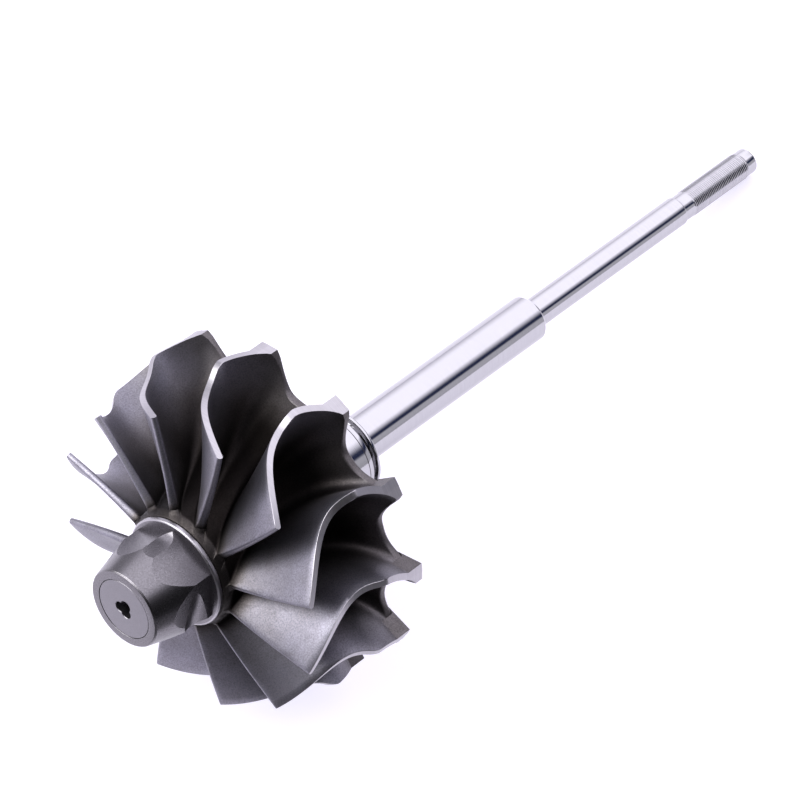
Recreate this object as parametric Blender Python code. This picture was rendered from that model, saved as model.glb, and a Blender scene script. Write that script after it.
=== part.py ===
"""Turbocharger turbine wheel with its shaft, lying at rest on two blade corners and the shaft end.

Every piece is built in the rotor's own frame: the axis runs along +X from the nose face of the
wheel (x = 0) to the tip of the shaft, and -Z is the side that rests on the floor. One empty then
tilts the rotor until it rests and puts the middle of its footprint at the origin.
"""
import math

import bmesh
import bpy
import numpy as np
from mathutils import Matrix

MM = 0.001
GAP = 0.3 * MM

# Nose boss
RIM_RADIUS = 8.46 * MM
FACE_RADIUS = 6.52 * MM
FACE_DEPTH = 2.4 * MM
FACE_RECESS = 0.12 * MM
CENTRE_HOLE_RADIUS = 1.9 * MM
CENTRE_HOLE_DEPTH = 1.8 * MM
HEX_APOTHEM = 9.525 * MM
HEX_FLAT_ANGLE = 19.0
HEX_SIDES = 6
NECK_END = 9.9 * MM
HEX_END = 14.1 * MM
LIP_RADIUS = 11.9 * MM
LIP_ROUND = 0.35 * MM
LIP_END = 15.2 * MM
CORNER_CUT = 10.05 * MM
CORNER_CUT_ANGLE = 171.0
CORNER_CUT_TURN = 10.0 * MM
CORNER_CUT_RUN = 3.64 * MM
CORNER_CUT_RISE = 0.9 * MM
TROUGH_CUT = 8.88 * MM
TROUGH_CUT_ANGLE = 268.0
TROUGH_X = 10.0 * MM
TROUGH_ROUND = 4.0 * MM

# Hub
HUB_START = LIP_END + GAP
HUB_START_RADIUS = 12.0 * MM
HUB_THROAT_X = 17.05 * MM
HUB_THROAT_RADIUS = 12.84 * MM
HUB_CURVE_LENGTH = 27.1 * MM
HUB_CURVE_HEIGHT = 27.8 * MM
HUB_END = 40.3 * MM

# Back disc
DISC_BACK = 44.44 * MM
DISC_LOBE_THICKNESS = 0.6 * MM
RIM_LIFT = 0.45 * MM
RIM_LIFT_START = 22.0 * MM
RIM_BEVEL = 0.95 * MM
RIM_BEVEL_WIDTH = 4.0 * MM
DISC_RADIUS = 37.0 * MM
SCALLOP_RADIUS = 29.2 * MM
SCALLOP_RISE = 7.9 * MM
SCALLOP_HALF_ANGLES = (12.5, 13.6)
SCALLOP_POWER = 2.8
BACK_CONE_RADIUS = 17.2 * MM
BACK_CONE_END_RADIUS = 10.4 * MM
BACK_CONE_END = 51.8 * MM

# Blades
BLADE_COUNT = 12
BLADE_PITCH = 360.0 / BLADE_COUNT
BLADE_TIP_ANGLE = 3.5
EXDUCER_X = 18.10 * MM
EXDUCER_RADIUS = 33.34 * MM
INDUCER_X = 33.64 * MM
INDUCER_RADIUS = 37.48 * MM
INDUCER_BACK_RADIUS = 37.0 * MM
SHROUD_POWER = 4.6
WRAP_ANGLE = 25.2
WRAP_POWER = 2.28
WRAP_TURN_X = 34.26 * MM
LEAN_ANGLE = 6.7
LEAN_POWER = 1.63
ROOT_THICKNESS = 2.2 * MM
LOBE_ROOT_THICKNESS = 1.3 * MM
TIP_THICKNESS = 1.25 * MM
CUT_FADE = 0.15

# Seal boss and shaft
SEAL_START = BACK_CONE_END + GAP
SEAL_RADIUS = 9.4 * MM
SEAL_CHAMFER = 0.35 * MM
GROOVE_START = 61.7 * MM
GROOVE_END = 62.9 * MM
GROOVE_RADIUS = 8.0 * MM
SEAL_END = 63.7 * MM
JOURNAL_RADIUS = 5.075 * MM
JOURNAL_END = 119.9 * MM
JOURNAL_CHAMFER_LENGTH = 0.45 * MM
JOURNAL_CHAMFER_DEPTH = 0.3 * MM
STUB_RADIUS = 3.255 * MM
STUB_END = 168.5 * MM
STUB_CHAMFER = 0.15 * MM
RELIEF_RADIUS = 2.95 * MM
RELIEF_END = 171.6 * MM
THREAD_MAJOR_RADIUS = 3.05 * MM
THREAD_DEPTH = 0.13 * MM
THREAD_PITCH = 0.5 * MM
THREAD_END = 190.0 * MM
TIP_RADIUS = 2.9 * MM
TIP_CHAMFER = 0.4 * MM
TIP_END = 192.85 * MM

# Fineness of the meshes
ROUND_SEGMENTS = 60
SHAFT_SEGMENTS = 48
BOSS_SEGMENTS = 120
BOSS_STATIONS = 19
DISC_SEGMENTS = 144
DISC_RINGS = 5
BLADE_STATIONS = 17
BLADE_ROWS = 6
THREAD_SEGMENTS = 20
THREAD_STATIONS_PER_PITCH = 4
SLOPE_STEP = 0.01 * MM
LEAST_COSINE = 0.5

COLOURS = {
    "cast": ((0.105, 0.098, 0.100), 0.55, 0.85),
    "cast_light": ((0.24, 0.23, 0.245), 0.45, 0.9),
    "machined": ((0.50, 0.485, 0.52), 0.35, 0.95),
    "ground": ((0.72, 0.71, 0.75), 0.18, 1.0),
    "thread": ((0.42, 0.41, 0.45), 0.30, 1.0),
}


def clear_scene():
    """Removes everything that the scene starts with."""
    for obj in list(bpy.data.objects):
        bpy.data.objects.remove(obj, do_unlink=True)


def material(name, finish):
    """Makes one plain material out of a named finish."""
    colour, roughness, metallic = COLOURS[finish]
    result = bpy.data.materials.new(name)
    result.use_nodes = True
    shader = result.node_tree.nodes["Principled BSDF"]
    shader.inputs["Base Color"].default_value = (*colour, 1.0)
    shader.inputs["Roughness"].default_value = roughness
    shader.inputs["Metallic"].default_value = metallic
    result.diffuse_color = (*colour, 1.0)
    return result


def add_object(name, verts, faces, finish, parent, smooth_angle=35.0):
    """Turns points and faces into one closed object that hangs on the rotor's empty."""
    mesh = bpy.data.meshes.new(name)
    mesh.from_pydata([tuple(map(float, v)) for v in verts], [], faces)
    mesh.update()
    work = bmesh.new()
    work.from_mesh(mesh)
    bmesh.ops.recalc_face_normals(work, faces=work.faces)
    for edge in work.edges:
        edge.smooth = edge.calc_face_angle(0.0) < math.radians(smooth_angle)
    for face in work.faces:
        face.smooth = True
    work.to_mesh(mesh)
    work.free()
    mesh.materials.append(material("mat_" + name, finish))
    obj = bpy.data.objects.new(name, mesh)
    obj.parent = parent
    bpy.context.scene.collection.objects.link(obj)
    return obj


def ring_point(x, radius, angle):
    """Gives the point at a distance along the axis, a radius and an angle from straight down."""
    return (x, radius * np.sin(angle), -radius * np.cos(angle))


def join_rings(verts, segments, poles):
    """Joins rings of points that follow each other and closes both ends with fans.

    Args:
        verts: the points, ring after ring; the two poles are added at its end.
        segments: number of points on each ring.
        poles: places on the axis of the first and the last ring's middle.

    Returns:
        The faces as tuples of point numbers.
    """
    last = len(verts) - segments
    faces = []
    for a in range(0, last, segments):
        b = a + segments
        for j in range(segments):
            k = (j + 1) % segments
            faces.append((a + j, a + k, b + k, b + j))
    for start, x in zip((0, last), poles):
        centre = len(verts)
        verts.append((float(x), 0.0, 0.0))
        for j in range(segments):
            faces.append((centre, start + j, start + (j + 1) % segments))
    return faces


def loft_rings(stations, radius_of, segments):
    """Joins closed rings along the axis and caps both ends with a fan to the axis.

    Args:
        stations: positions along the axis, one for each ring.
        radius_of: gives the radii of ring number i at an array of angles.
        segments: number of points on each ring.

    Returns:
        The points and the faces.
    """
    angles = np.linspace(0.0, 2.0 * math.pi, segments, endpoint=False)
    verts = []
    for i, x in enumerate(stations):
        radii = radius_of(i, angles)
        verts.extend(zip(np.broadcast_to(x, angles.shape), radii * np.sin(angles), -radii * np.cos(angles)))
    return verts, join_rings(verts, segments, (stations[0], stations[-1]))


def spin_profile(profile, segments):
    """Spins a profile of (x, radius) pairs; its first and last points lie on the axis."""
    inner = profile[1:-1]
    angles = np.linspace(0.0, 2.0 * math.pi, segments, endpoint=False)
    verts = []
    for x, radius in inner:
        verts.extend(ring_point(x, radius, angle) for angle in angles)
    return verts, join_rings(verts, segments, (profile[0][0], profile[-1][0]))


def smooth_step(share):
    """Gives 3 s^2 - 2 s^3 of a share held between 0 and 1."""
    s = np.clip(share, 0.0, 1.0)
    return s * s * (3.0 - 2.0 * s)


def hub_radius(x):
    """Gives the radius of the hub curve: a quarter ellipse that turns from axial to radial."""
    along = np.clip((x - HUB_THROAT_X) / HUB_CURVE_LENGTH, 0.0, 1.0)
    return HUB_THROAT_RADIUS + HUB_CURVE_HEIGHT * (1.0 - np.sqrt(1.0 - along ** 2))


def hub_position(radius):
    """Gives where along the axis the hub curve reaches a radius."""
    rise = np.clip(1.0 - (radius - HUB_THROAT_RADIUS) / HUB_CURVE_HEIGHT, 0.0, 1.0)
    return HUB_THROAT_X + HUB_CURVE_LENGTH * np.sqrt(1.0 - rise ** 2)


def rim_lift(radius):
    """Gives how far the disc's front stands behind the hub curve where it nears the rim."""
    return RIM_LIFT * smooth_step((radius - RIM_LIFT_START) / (SCALLOP_RADIUS - RIM_LIFT_START))


def disc_front(radius):
    """Gives the front of the back disc: the hub curve, kept to the least thickness of a lobe."""
    return np.minimum(hub_position(radius) + rim_lift(radius), DISC_BACK - DISC_LOBE_THICKNESS)


def blade_wrap(x):
    """Gives the angle in degrees by which a blade has turned at a place along the axis."""
    turn = np.clip((WRAP_TURN_X - x) / (WRAP_TURN_X - EXDUCER_X), 0.0, None)
    lean = np.clip((x - WRAP_TURN_X) / (DISC_BACK - WRAP_TURN_X), 0.0, None)
    return -WRAP_ANGLE * (1.0 - turn ** WRAP_POWER) + LEAN_ANGLE * lean ** LEAN_POWER


def shroud_radius(x):
    """Gives the radius of the blades' outer edge along the axis."""
    along = np.clip((x - EXDUCER_X) / (INDUCER_X - EXDUCER_X), 0.0, 1.0)
    return EXDUCER_RADIUS + (INDUCER_RADIUS - EXDUCER_RADIUS) * along ** SHROUD_POWER


def corner_cut(x, angles):
    """Gives the bed of the balancing cut over a corner: a plane that curves out towards the lip."""
    rise = CORNER_CUT_RISE * max((x - CORNER_CUT_TURN) / CORNER_CUT_RUN, 0.0) ** 3
    return (CORNER_CUT + rise) / np.clip(np.cos(angles - math.radians(CORNER_CUT_ANGLE)), LEAST_COSINE, 1.0)


def trough_cut(x, angles):
    """Gives the bed of the balancing cut in a flat: a round trough that runs square to the axis."""
    deep = TROUGH_CUT + (x - TROUGH_X) ** 2 / (2.0 * TROUGH_ROUND)
    return deep / np.clip(np.cos(angles - math.radians(TROUGH_CUT_ANGLE)), LEAST_COSINE, 1.0)


def build_nose_boss(parent):
    """Builds the boss: a cone from the rim, six milled flats, two balancing cuts and the round lip."""
    corner = HEX_APOTHEM / math.cos(math.pi / HEX_SIDES)
    slope = (corner - RIM_RADIUS) / NECK_END
    flat_start = (HEX_APOTHEM - RIM_RADIUS) / slope
    step = math.radians(360.0 / HEX_SIDES)

    def hexagon(angles):
        off = (angles - math.radians(HEX_FLAT_ANGLE) + step / 2.0) % step - step / 2.0
        return HEX_APOTHEM / np.cos(off)

    milled = list(np.linspace(flat_start, HEX_END, BOSS_STATIONS))
    stations = [FACE_DEPTH, 0.0, 0.0] + milled + [HEX_END, HEX_END + LIP_ROUND, LIP_END]
    fixed = {0: FACE_RADIUS, 1: FACE_RADIUS, 2: RIM_RADIUS}
    fixed[len(stations) - 3] = LIP_RADIUS - LIP_ROUND
    fixed[len(stations) - 2] = LIP_RADIUS
    fixed[len(stations) - 1] = LIP_RADIUS

    def radius_of(i, angles):
        if i in fixed:
            return np.full(angles.shape, fixed[i])
        x = stations[i]
        whole = np.minimum(RIM_RADIUS + slope * x, hexagon(angles))
        return np.minimum(whole, np.minimum(corner_cut(x, angles), trough_cut(x, angles)))

    verts, faces = loft_rings(stations, radius_of, BOSS_SEGMENTS)
    return add_object("nose_boss", verts, faces, "machined", parent, 20.0)


def build_nose_face(parent):
    """Builds the round end face with its blind centre hole."""
    radius = FACE_RADIUS - GAP
    profile = [
        (FACE_DEPTH - GAP, 0.0),
        (FACE_DEPTH - GAP, radius),
        (FACE_RECESS, radius),
        (FACE_RECESS, CENTRE_HOLE_RADIUS),
        (FACE_RECESS + CENTRE_HOLE_DEPTH * 0.6, CENTRE_HOLE_RADIUS * 0.55),
        (FACE_RECESS + CENTRE_HOLE_DEPTH, 0.0),
    ]
    verts, faces = spin_profile(profile, SHAFT_SEGMENTS)
    return add_object("nose_face", verts, faces, "machined", parent, 30.0)


def build_hub(parent):
    """Builds the cast body that carries the blades."""
    curve = HUB_THROAT_X + (HUB_END - HUB_THROAT_X) * np.sin(np.linspace(0.0, math.pi / 2.0, 16))
    profile = [(HUB_START, 0.0), (HUB_START, HUB_START_RADIUS)]
    profile += [(x, float(hub_radius(x))) for x in curve]
    profile += [(HUB_END, 0.0)]
    verts, faces = spin_profile(profile, ROUND_SEGMENTS)
    return add_object("hub", verts, faces, "cast", parent)


def scallop_edge(angles):
    """Gives the outline of the back disc: lobes behind the blades, hollows between them."""
    off = (np.degrees(angles) + BLADE_PITCH / 2.0) % BLADE_PITCH - BLADE_PITCH / 2.0
    half_angle = np.where(off < 0.0, *SCALLOP_HALF_ANGLES)
    rise = SCALLOP_RISE * (np.abs(off) / half_angle) ** SCALLOP_POWER
    return np.minimum(SCALLOP_RADIUS + rise, DISC_RADIUS)


def scallop_depth(angles):
    """Gives how deep in a scallop the outline lies: 0 on a lobe, 1 at the bottom."""
    return (DISC_RADIUS - scallop_edge(angles)) / (DISC_RADIUS - SCALLOP_RADIUS)


def build_back_disc(parent):
    """Builds the scalloped back disc with the cone that runs down to the shaft."""
    start = HUB_END + GAP
    angles = np.linspace(0.0, 2.0 * math.pi, DISC_SEGMENTS, endpoint=False)
    inner_radius = float(hub_radius(start))
    edge = scallop_edge(angles)
    depth = scallop_depth(angles)
    rings = []
    for share in np.linspace(0.0, 1.0, DISC_RINGS):
        radii = inner_radius + (edge - inner_radius) * share
        rings.append((disc_front(radii), radii))
    rings.append((DISC_BACK - RIM_BEVEL * depth, edge))
    rings.append((DISC_BACK, edge - RIM_BEVEL_WIDTH * depth))
    rings.append((DISC_BACK, BACK_CONE_RADIUS))
    for share in (0.35, 1.0):
        x = DISC_BACK + (BACK_CONE_END - DISC_BACK) * share
        radius = BACK_CONE_END_RADIUS + (BACK_CONE_RADIUS - BACK_CONE_END_RADIUS) * (1.0 - share) ** 2
        rings.append((x, radius))
    verts = []
    for ring_x, ring_r in rings:
        x, radii = np.broadcast_arrays(ring_x, ring_r, angles)[:2]
        verts.extend(zip(x, radii * np.sin(angles), -radii * np.cos(angles)))
    faces = join_rings(verts, DISC_SEGMENTS, (start, BACK_CONE_END))
    return add_object("back_disc", verts, faces, "cast", parent)


def blade_root_line(count):
    """Gives the meridional line that a blade stands on: over the hub, then up the back disc."""
    top = INDUCER_BACK_RADIUS
    rise = 1.0 - (top - HUB_THROAT_RADIUS) / HUB_CURVE_HEIGHT
    angle = np.linspace(0.0, math.acos(rise), count)
    x = HUB_THROAT_X + HUB_CURVE_LENGTH * np.sin(angle)
    radius = HUB_THROAT_RADIUS + HUB_CURVE_HEIGHT * (1.0 - np.cos(angle))
    normal_x = -HUB_CURVE_HEIGHT * np.sin(angle)
    normal_r = HUB_CURVE_LENGTH * np.cos(angle)
    length = np.hypot(normal_x, normal_r)
    x = x + rim_lift(radius) + GAP * normal_x / length
    radius = np.minimum(radius + GAP * normal_r / length, top)
    return np.minimum(x, DISC_BACK - DISC_LOBE_THICKNESS - GAP), radius


def build_blade(number, parent):
    """Builds one curved blade between the hub and the free outer edge.

    It grows thinner from root to edge and towards the lobe, and its trailing edge is cut square.
    """
    along_count = BLADE_STATIONS
    across_count = BLADE_ROWS
    root_x, root_r = blade_root_line(along_count)
    share = np.linspace(0.0, 1.0, along_count)
    edge_x = EXDUCER_X + (INDUCER_X - EXDUCER_X) * share
    edge_r = shroud_radius(edge_x)
    span = np.linspace(0.0, 1.0, across_count)[:, None]
    x = root_x + (edge_x - root_x) * span
    radius = root_r + (edge_r - root_r) * span
    wrap = np.radians(blade_wrap(x))
    slant = radius * (np.radians(blade_wrap(x + SLOPE_STEP)) - wrap) / SLOPE_STEP
    root = ROOT_THICKNESS + (LOBE_ROOT_THICKNESS - ROOT_THICKNESS) * share ** 2
    thickness = root + (TIP_THICKNESS - root) * np.sqrt(span)
    stretch = np.sqrt(1.0 + slant ** 2)
    half = thickness / 2.0 * stretch / radius
    cut = (1.0 - smooth_step(share / CUT_FADE)) * thickness / 2.0 * slant / stretch
    first = math.radians(BLADE_TIP_ANGLE + BLADE_PITCH * (number - 1))
    verts = []
    for side in (-1.0, 1.0):
        side_x = x - side * cut
        angle = first + np.radians(blade_wrap(side_x)) + side * half
        points = np.stack([side_x, radius * np.sin(angle), -radius * np.cos(angle)], axis=-1)
        verts.extend(points.reshape(-1, 3))
    faces = []
    shift = along_count * across_count
    for i in range(across_count - 1):
        for j in range(along_count - 1):
            a = i * along_count + j
            faces.append((a, a + 1, a + 1 + along_count, a + along_count))
            faces.append((shift + a, shift + a + along_count, shift + a + 1 + along_count, shift + a + 1))
    outline = list(range(along_count))
    outline += [i * along_count + along_count - 1 for i in range(1, across_count)]
    outline += [(across_count - 1) * along_count + j for j in range(along_count - 2, -1, -1)]
    outline += [i * along_count for i in range(across_count - 2, 0, -1)]
    for a, b in zip(outline, outline[1:] + outline[:1]):
        faces.append((a, b, shift + b, shift + a))
    return add_object("blade_%02d" % number, verts, faces, "cast_light", parent, 40.0)


def build_seal_boss(parent):
    """Builds the boss behind the wheel with the groove for the piston ring."""
    profile = [
        (SEAL_START, 0.0),
        (SEAL_START, SEAL_RADIUS),
        (GROOVE_START, SEAL_RADIUS),
        (GROOVE_START, GROOVE_RADIUS),
        (GROOVE_END, GROOVE_RADIUS),
        (GROOVE_END, SEAL_RADIUS),
        (SEAL_END - SEAL_CHAMFER, SEAL_RADIUS),
        (SEAL_END, SEAL_RADIUS - SEAL_CHAMFER),
        (SEAL_END, 0.0),
    ]
    verts, faces = spin_profile(profile, ROUND_SEGMENTS)
    return add_object("seal_boss", verts, faces, "ground", parent)


def build_shaft_pieces(parent):
    """Builds the journal, the stub shaft, the relief before the thread and the plain tip."""
    journal = [
        (SEAL_END + GAP, 0.0),
        (SEAL_END + GAP, JOURNAL_RADIUS),
        (JOURNAL_END - JOURNAL_CHAMFER_LENGTH, JOURNAL_RADIUS),
        (JOURNAL_END, JOURNAL_RADIUS - JOURNAL_CHAMFER_DEPTH),
        (JOURNAL_END, 0.0),
    ]
    stub = [
        (JOURNAL_END + GAP, 0.0),
        (JOURNAL_END + GAP, STUB_RADIUS),
        (STUB_END - STUB_CHAMFER, STUB_RADIUS),
        (STUB_END, STUB_RADIUS - STUB_CHAMFER),
        (STUB_END, 0.0),
    ]
    relief = [
        (STUB_END + GAP, 0.0),
        (STUB_END + GAP, RELIEF_RADIUS),
        (RELIEF_END, RELIEF_RADIUS),
        (RELIEF_END, 0.0),
    ]
    tip = [
        (THREAD_END + GAP, 0.0),
        (THREAD_END + GAP, TIP_RADIUS),
        (TIP_END - TIP_CHAMFER, TIP_RADIUS),
        (TIP_END, TIP_RADIUS - TIP_CHAMFER),
        (TIP_END, 0.0),
    ]
    pieces = (("journal", journal), ("stub_shaft", stub), ("thread_relief", relief), ("shaft_tip", tip))
    for name, profile in pieces:
        verts, faces = spin_profile(profile, SHAFT_SEGMENTS)
        add_object(name, verts, faces, "ground", parent)


def build_threaded_end(parent):
    """Builds the threaded length: a radius that rises and falls along one helix."""
    start = RELIEF_END + GAP
    steps = int(round((THREAD_END - start) / THREAD_PITCH * THREAD_STATIONS_PER_PITCH))
    stations = np.linspace(start, THREAD_END, steps + 1)

    def radius_of(i, angles):
        turns = (stations[i] - start) / THREAD_PITCH - angles / (2.0 * math.pi)
        height = np.abs((turns % 1.0) * 2.0 - 1.0)
        room = min(stations[i] - start, THREAD_END - stations[i]) / THREAD_PITCH
        return THREAD_MAJOR_RADIUS - THREAD_DEPTH * (1.0 - height * min(room, 1.0))

    verts, faces = loft_rings(list(stations), radius_of, THREAD_SEGMENTS)
    return add_object("threaded_end", verts, faces, "thread", parent, 80.0)


def rotor_points():
    """Gives the points of all pieces in the rotor's own frame as one array."""
    clouds = []
    for obj in bpy.data.objects:
        if obj.type == "MESH":
            points = np.empty(len(obj.data.vertices) * 3)
            obj.data.vertices.foreach_get("co", points)
            clouds.append(points.reshape(-1, 3))
    return np.concatenate(clouds)


def resting_tilt(points):
    """Finds the tilt at which the lowest blade corners and the shaft tip are equally low."""
    wheel = points[points[:, 0] < SEAL_END]
    tip = points[points[:, 0] > THREAD_END]
    low = 0.0
    high = math.radians(30.0)
    for _ in range(60):
        tilt = (low + high) / 2.0
        heights = [np.min(part[:, 2] * math.cos(tilt) - part[:, 0] * math.sin(tilt)) for part in (wheel, tip)]
        if heights[0] < heights[1]:
            low = tilt
        else:
            high = tilt
    return (low + high) / 2.0


def settle(rotor):
    """Tilts the rotor to its rest and centres its footprint on the origin."""
    points = rotor_points()
    tilt = resting_tilt(points)
    turned = points @ np.array(Matrix.Rotation(tilt, 3, "Y")).T
    low = turned.min(axis=0)
    high = turned.max(axis=0)
    rotor.rotation_euler = (0.0, tilt, 0.0)
    rotor.location = (-(low[0] + high[0]) / 2.0, -(low[1] + high[1]) / 2.0, -low[2])


def main():
    """Builds the whole rotor."""
    clear_scene()
    rotor = bpy.data.objects.new("rotor_axis", None)
    bpy.context.scene.collection.objects.link(rotor)
    build_nose_face(rotor)
    build_nose_boss(rotor)
    build_hub(rotor)
    for number in range(1, BLADE_COUNT + 1):
        build_blade(number, rotor)
    build_back_disc(rotor)
    build_seal_boss(rotor)
    build_shaft_pieces(rotor)
    build_threaded_end(rotor)
    settle(rotor)


main()
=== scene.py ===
"""Turbocharger turbine wheel with its shaft, finished for a studio picture.

Every piece is worked out in the rotor's own frame: x runs along the axis from the nose face to the
tip of the shaft, r is the distance from the axis, and the angle is measured from straight down.
"""
import logging
import math
from collections.abc import Sequence
from dataclasses import dataclass
from enum import Enum

import bmesh
import bpy
import numpy as np
from mathutils import Matrix, Vector


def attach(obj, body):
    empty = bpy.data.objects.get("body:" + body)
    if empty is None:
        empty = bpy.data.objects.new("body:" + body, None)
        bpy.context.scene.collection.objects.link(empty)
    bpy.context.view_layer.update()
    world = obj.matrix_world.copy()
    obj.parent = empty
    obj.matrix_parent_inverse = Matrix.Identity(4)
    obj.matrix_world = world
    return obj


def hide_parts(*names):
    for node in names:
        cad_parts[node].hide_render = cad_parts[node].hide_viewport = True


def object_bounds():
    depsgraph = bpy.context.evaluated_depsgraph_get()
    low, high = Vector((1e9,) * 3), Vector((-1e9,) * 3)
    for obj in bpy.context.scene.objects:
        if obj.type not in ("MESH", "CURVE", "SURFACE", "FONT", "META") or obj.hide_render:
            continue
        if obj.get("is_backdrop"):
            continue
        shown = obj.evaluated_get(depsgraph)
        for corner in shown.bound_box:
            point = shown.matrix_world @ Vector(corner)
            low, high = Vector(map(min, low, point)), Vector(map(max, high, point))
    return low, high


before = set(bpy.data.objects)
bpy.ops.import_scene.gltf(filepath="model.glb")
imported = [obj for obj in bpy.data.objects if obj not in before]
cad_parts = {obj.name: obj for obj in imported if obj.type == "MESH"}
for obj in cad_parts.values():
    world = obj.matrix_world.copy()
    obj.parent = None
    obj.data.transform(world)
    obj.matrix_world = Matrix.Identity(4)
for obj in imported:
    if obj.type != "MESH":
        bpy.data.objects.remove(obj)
CAD_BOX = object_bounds()

Array = np.ndarray
Pair = tuple[float, float]
Triple = tuple[float, float, float]
Stops = tuple[tuple[float, Triple], ...]
Socket = bpy.types.NodeSocket

LOG = logging.getLogger("turbine_wheel")
MM = 0.001
WELD = 2e-6
SLIVER = 5e-7
FULL_TURN = 2.0 * math.pi
QUARTER_TURN = math.pi / 2.0
BODY = "root"

# Numbers of the colour sockets of a Mix node
MIX_FIRST, MIX_SECOND, MIX_RESULT = 6, 7, 2


class Surface(Enum):
    """Which finish of a piece a patch of its surface takes."""

    CAST = 0
    GROUND = 1


class Side(Enum):
    """The two walls of a passage, as the sign of the angle from its middle."""

    LEFT = -1.0
    RIGHT = 1.0


# Placement and meshes


@dataclass(frozen=True)
class RotorPlace:
    """Where the rotor's own frame lies in the scene: tilted about Y, then shifted."""

    tilt: float = 0.22080443799495697
    shift: Triple = (-0.09343128651380539, 0.0, 0.04497895389795303)

    def turn(self) -> Array:
        """Gives the 3x3 turn from the rotor's frame to the scene."""
        c, s = math.cos(self.tilt), math.sin(self.tilt)
        return np.array([[c, 0.0, s], [0.0, 1.0, 0.0], [-s, 0.0, c]])

    def points(self, x: Array, r: Array, angle: Array) -> Array:
        """Turns cylinder coordinates into scene points.

        Formula: (x, r sin a, -r cos a), turned by the tilt and shifted.

        Args:
            x: places along the axis.
            r: distances from the axis.
            angle: angles from straight down, in radians.

        Returns:
            An array with one more axis of length 3.
        """
        x, r, angle = np.broadcast_arrays(x, r, angle)
        local = np.stack([x, r * np.sin(angle), -r * np.cos(angle)], axis=-1)
        return local @ self.turn().T + np.array(self.shift)

    def back_location(self) -> Triple:
        """Gives the location of a Mapping node that brings Object coordinates to the rotor's frame."""
        return tuple(-(self.turn().T @ np.array(self.shift)))


PLACE = RotorPlace()


@dataclass
class Patch:
    """A grid of points in cylinder coordinates, with the finish and the painted light level (reach) that it
    takes.
    """

    x: Array
    r: Array
    angle: Array
    surface: Surface = Surface.CAST
    # reach: painted light level, 0 for painted shade, 1 for painted light
    reach: Array | float = 0.0
    closed: bool = False

    def spread(self) -> tuple[Array, Array, Array, Array]:
        """Gives x, r, angle and reach as arrays of one shape."""
        return tuple(np.array(a, float) for a in np.broadcast_arrays(self.x, self.r, self.angle, self.reach))


def ease(value: Array, first: float, last: float) -> Array:
    """Gives a soft step from 0 at one value to 1 at another.

    Formula: 3 s^2 - 2 s^3, where s is the share of the way, held between 0 and 1.

    Args:
        value: the values to judge.
        first: where the step starts.
        last: where it ends; it may lie below first.

    Returns:
        Values from 0 to 1.
    """
    s = np.clip((value - first) / (last - first), 0.0, 1.0)
    return s * s * (3.0 - 2.0 * s)


def shares(count: int) -> Array:
    """Gives a column of even shares, from the first after 0 up to 1."""
    return np.linspace(0.0, 1.0, count + 1)[1:, None]


def quarter(count: int) -> Array:
    """Gives a column of even angles from 0 to a quarter turn."""
    return np.linspace(0.0, QUARTER_TURN, count)[:, None]


def round_angles(count: int) -> Array:
    """Gives a row of even angles once round the axis, without the last that meets the first."""
    return np.linspace(0.0, FULL_TURN, count, endpoint=False)[None, :]


def arc(centre: Pair, radius: float, start: float, end: float, count: int) -> list[Pair]:
    """Gives points on a round of a profile: centre plus radius times (cos a, sin a), angles in degrees."""
    a = np.radians(np.linspace(start, end, count))
    return list(zip(centre[0] + radius * np.cos(a), centre[1] + radius * np.sin(a)))


def spun(profile: Sequence[Pair], segments: int) -> Patch:
    """Spins a profile of (x, r) pairs round the axis, one column at each of even angles."""
    pairs = np.array(profile, float)
    return Patch(pairs[:, :1], pairs[:, 1:], round_angles(segments), closed=True)


def grid_faces(rows: int, cols: int, start: int, closed: bool) -> Array:
    """Gives the four-sided faces of a grid.

    Formula: face (i, j) joins points (i, j), (i, j+1), (i+1, j+1) and (i+1, j), numbered row by row.

    Args:
        rows: points down the grid.
        cols: points across the grid.
        start: number of the grid's first point.
        closed: whether the last column joins the first again.

    Returns:
        An array of shape (faces, 4).
    """
    i = np.arange(rows - 1)[:, None]
    j = np.arange(cols if closed else cols - 1)[None, :]
    k = (j + 1) % cols
    faces = np.stack([i * cols + j, i * cols + k, (i + 1) * cols + k, (i + 1) * cols + j], axis=-1)
    return faces.reshape(-1, 4) + start


def close_mesh(mesh: bpy.types.Mesh) -> None:
    """Welds doubles, drops faces without area and turns the faces outwards.

    Args:
        mesh: the mesh, changed in place.
    """
    work = bmesh.new()
    work.from_mesh(mesh)
    bmesh.ops.remove_doubles(work, verts=work.verts, dist=WELD)
    bmesh.ops.dissolve_degenerate(work, edges=work.edges, dist=SLIVER)
    bmesh.ops.recalc_face_normals(work, faces=work.faces)
    open_edges = sum(1 for edge in work.edges if not edge.is_manifold)
    counts = (len(work.verts), len(work.faces), open_edges)
    LOG.info("%s: %d points, %d faces, %d open edges", mesh.name, *counts)
    work.to_mesh(mesh)
    work.free()
    mesh.update()


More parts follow.
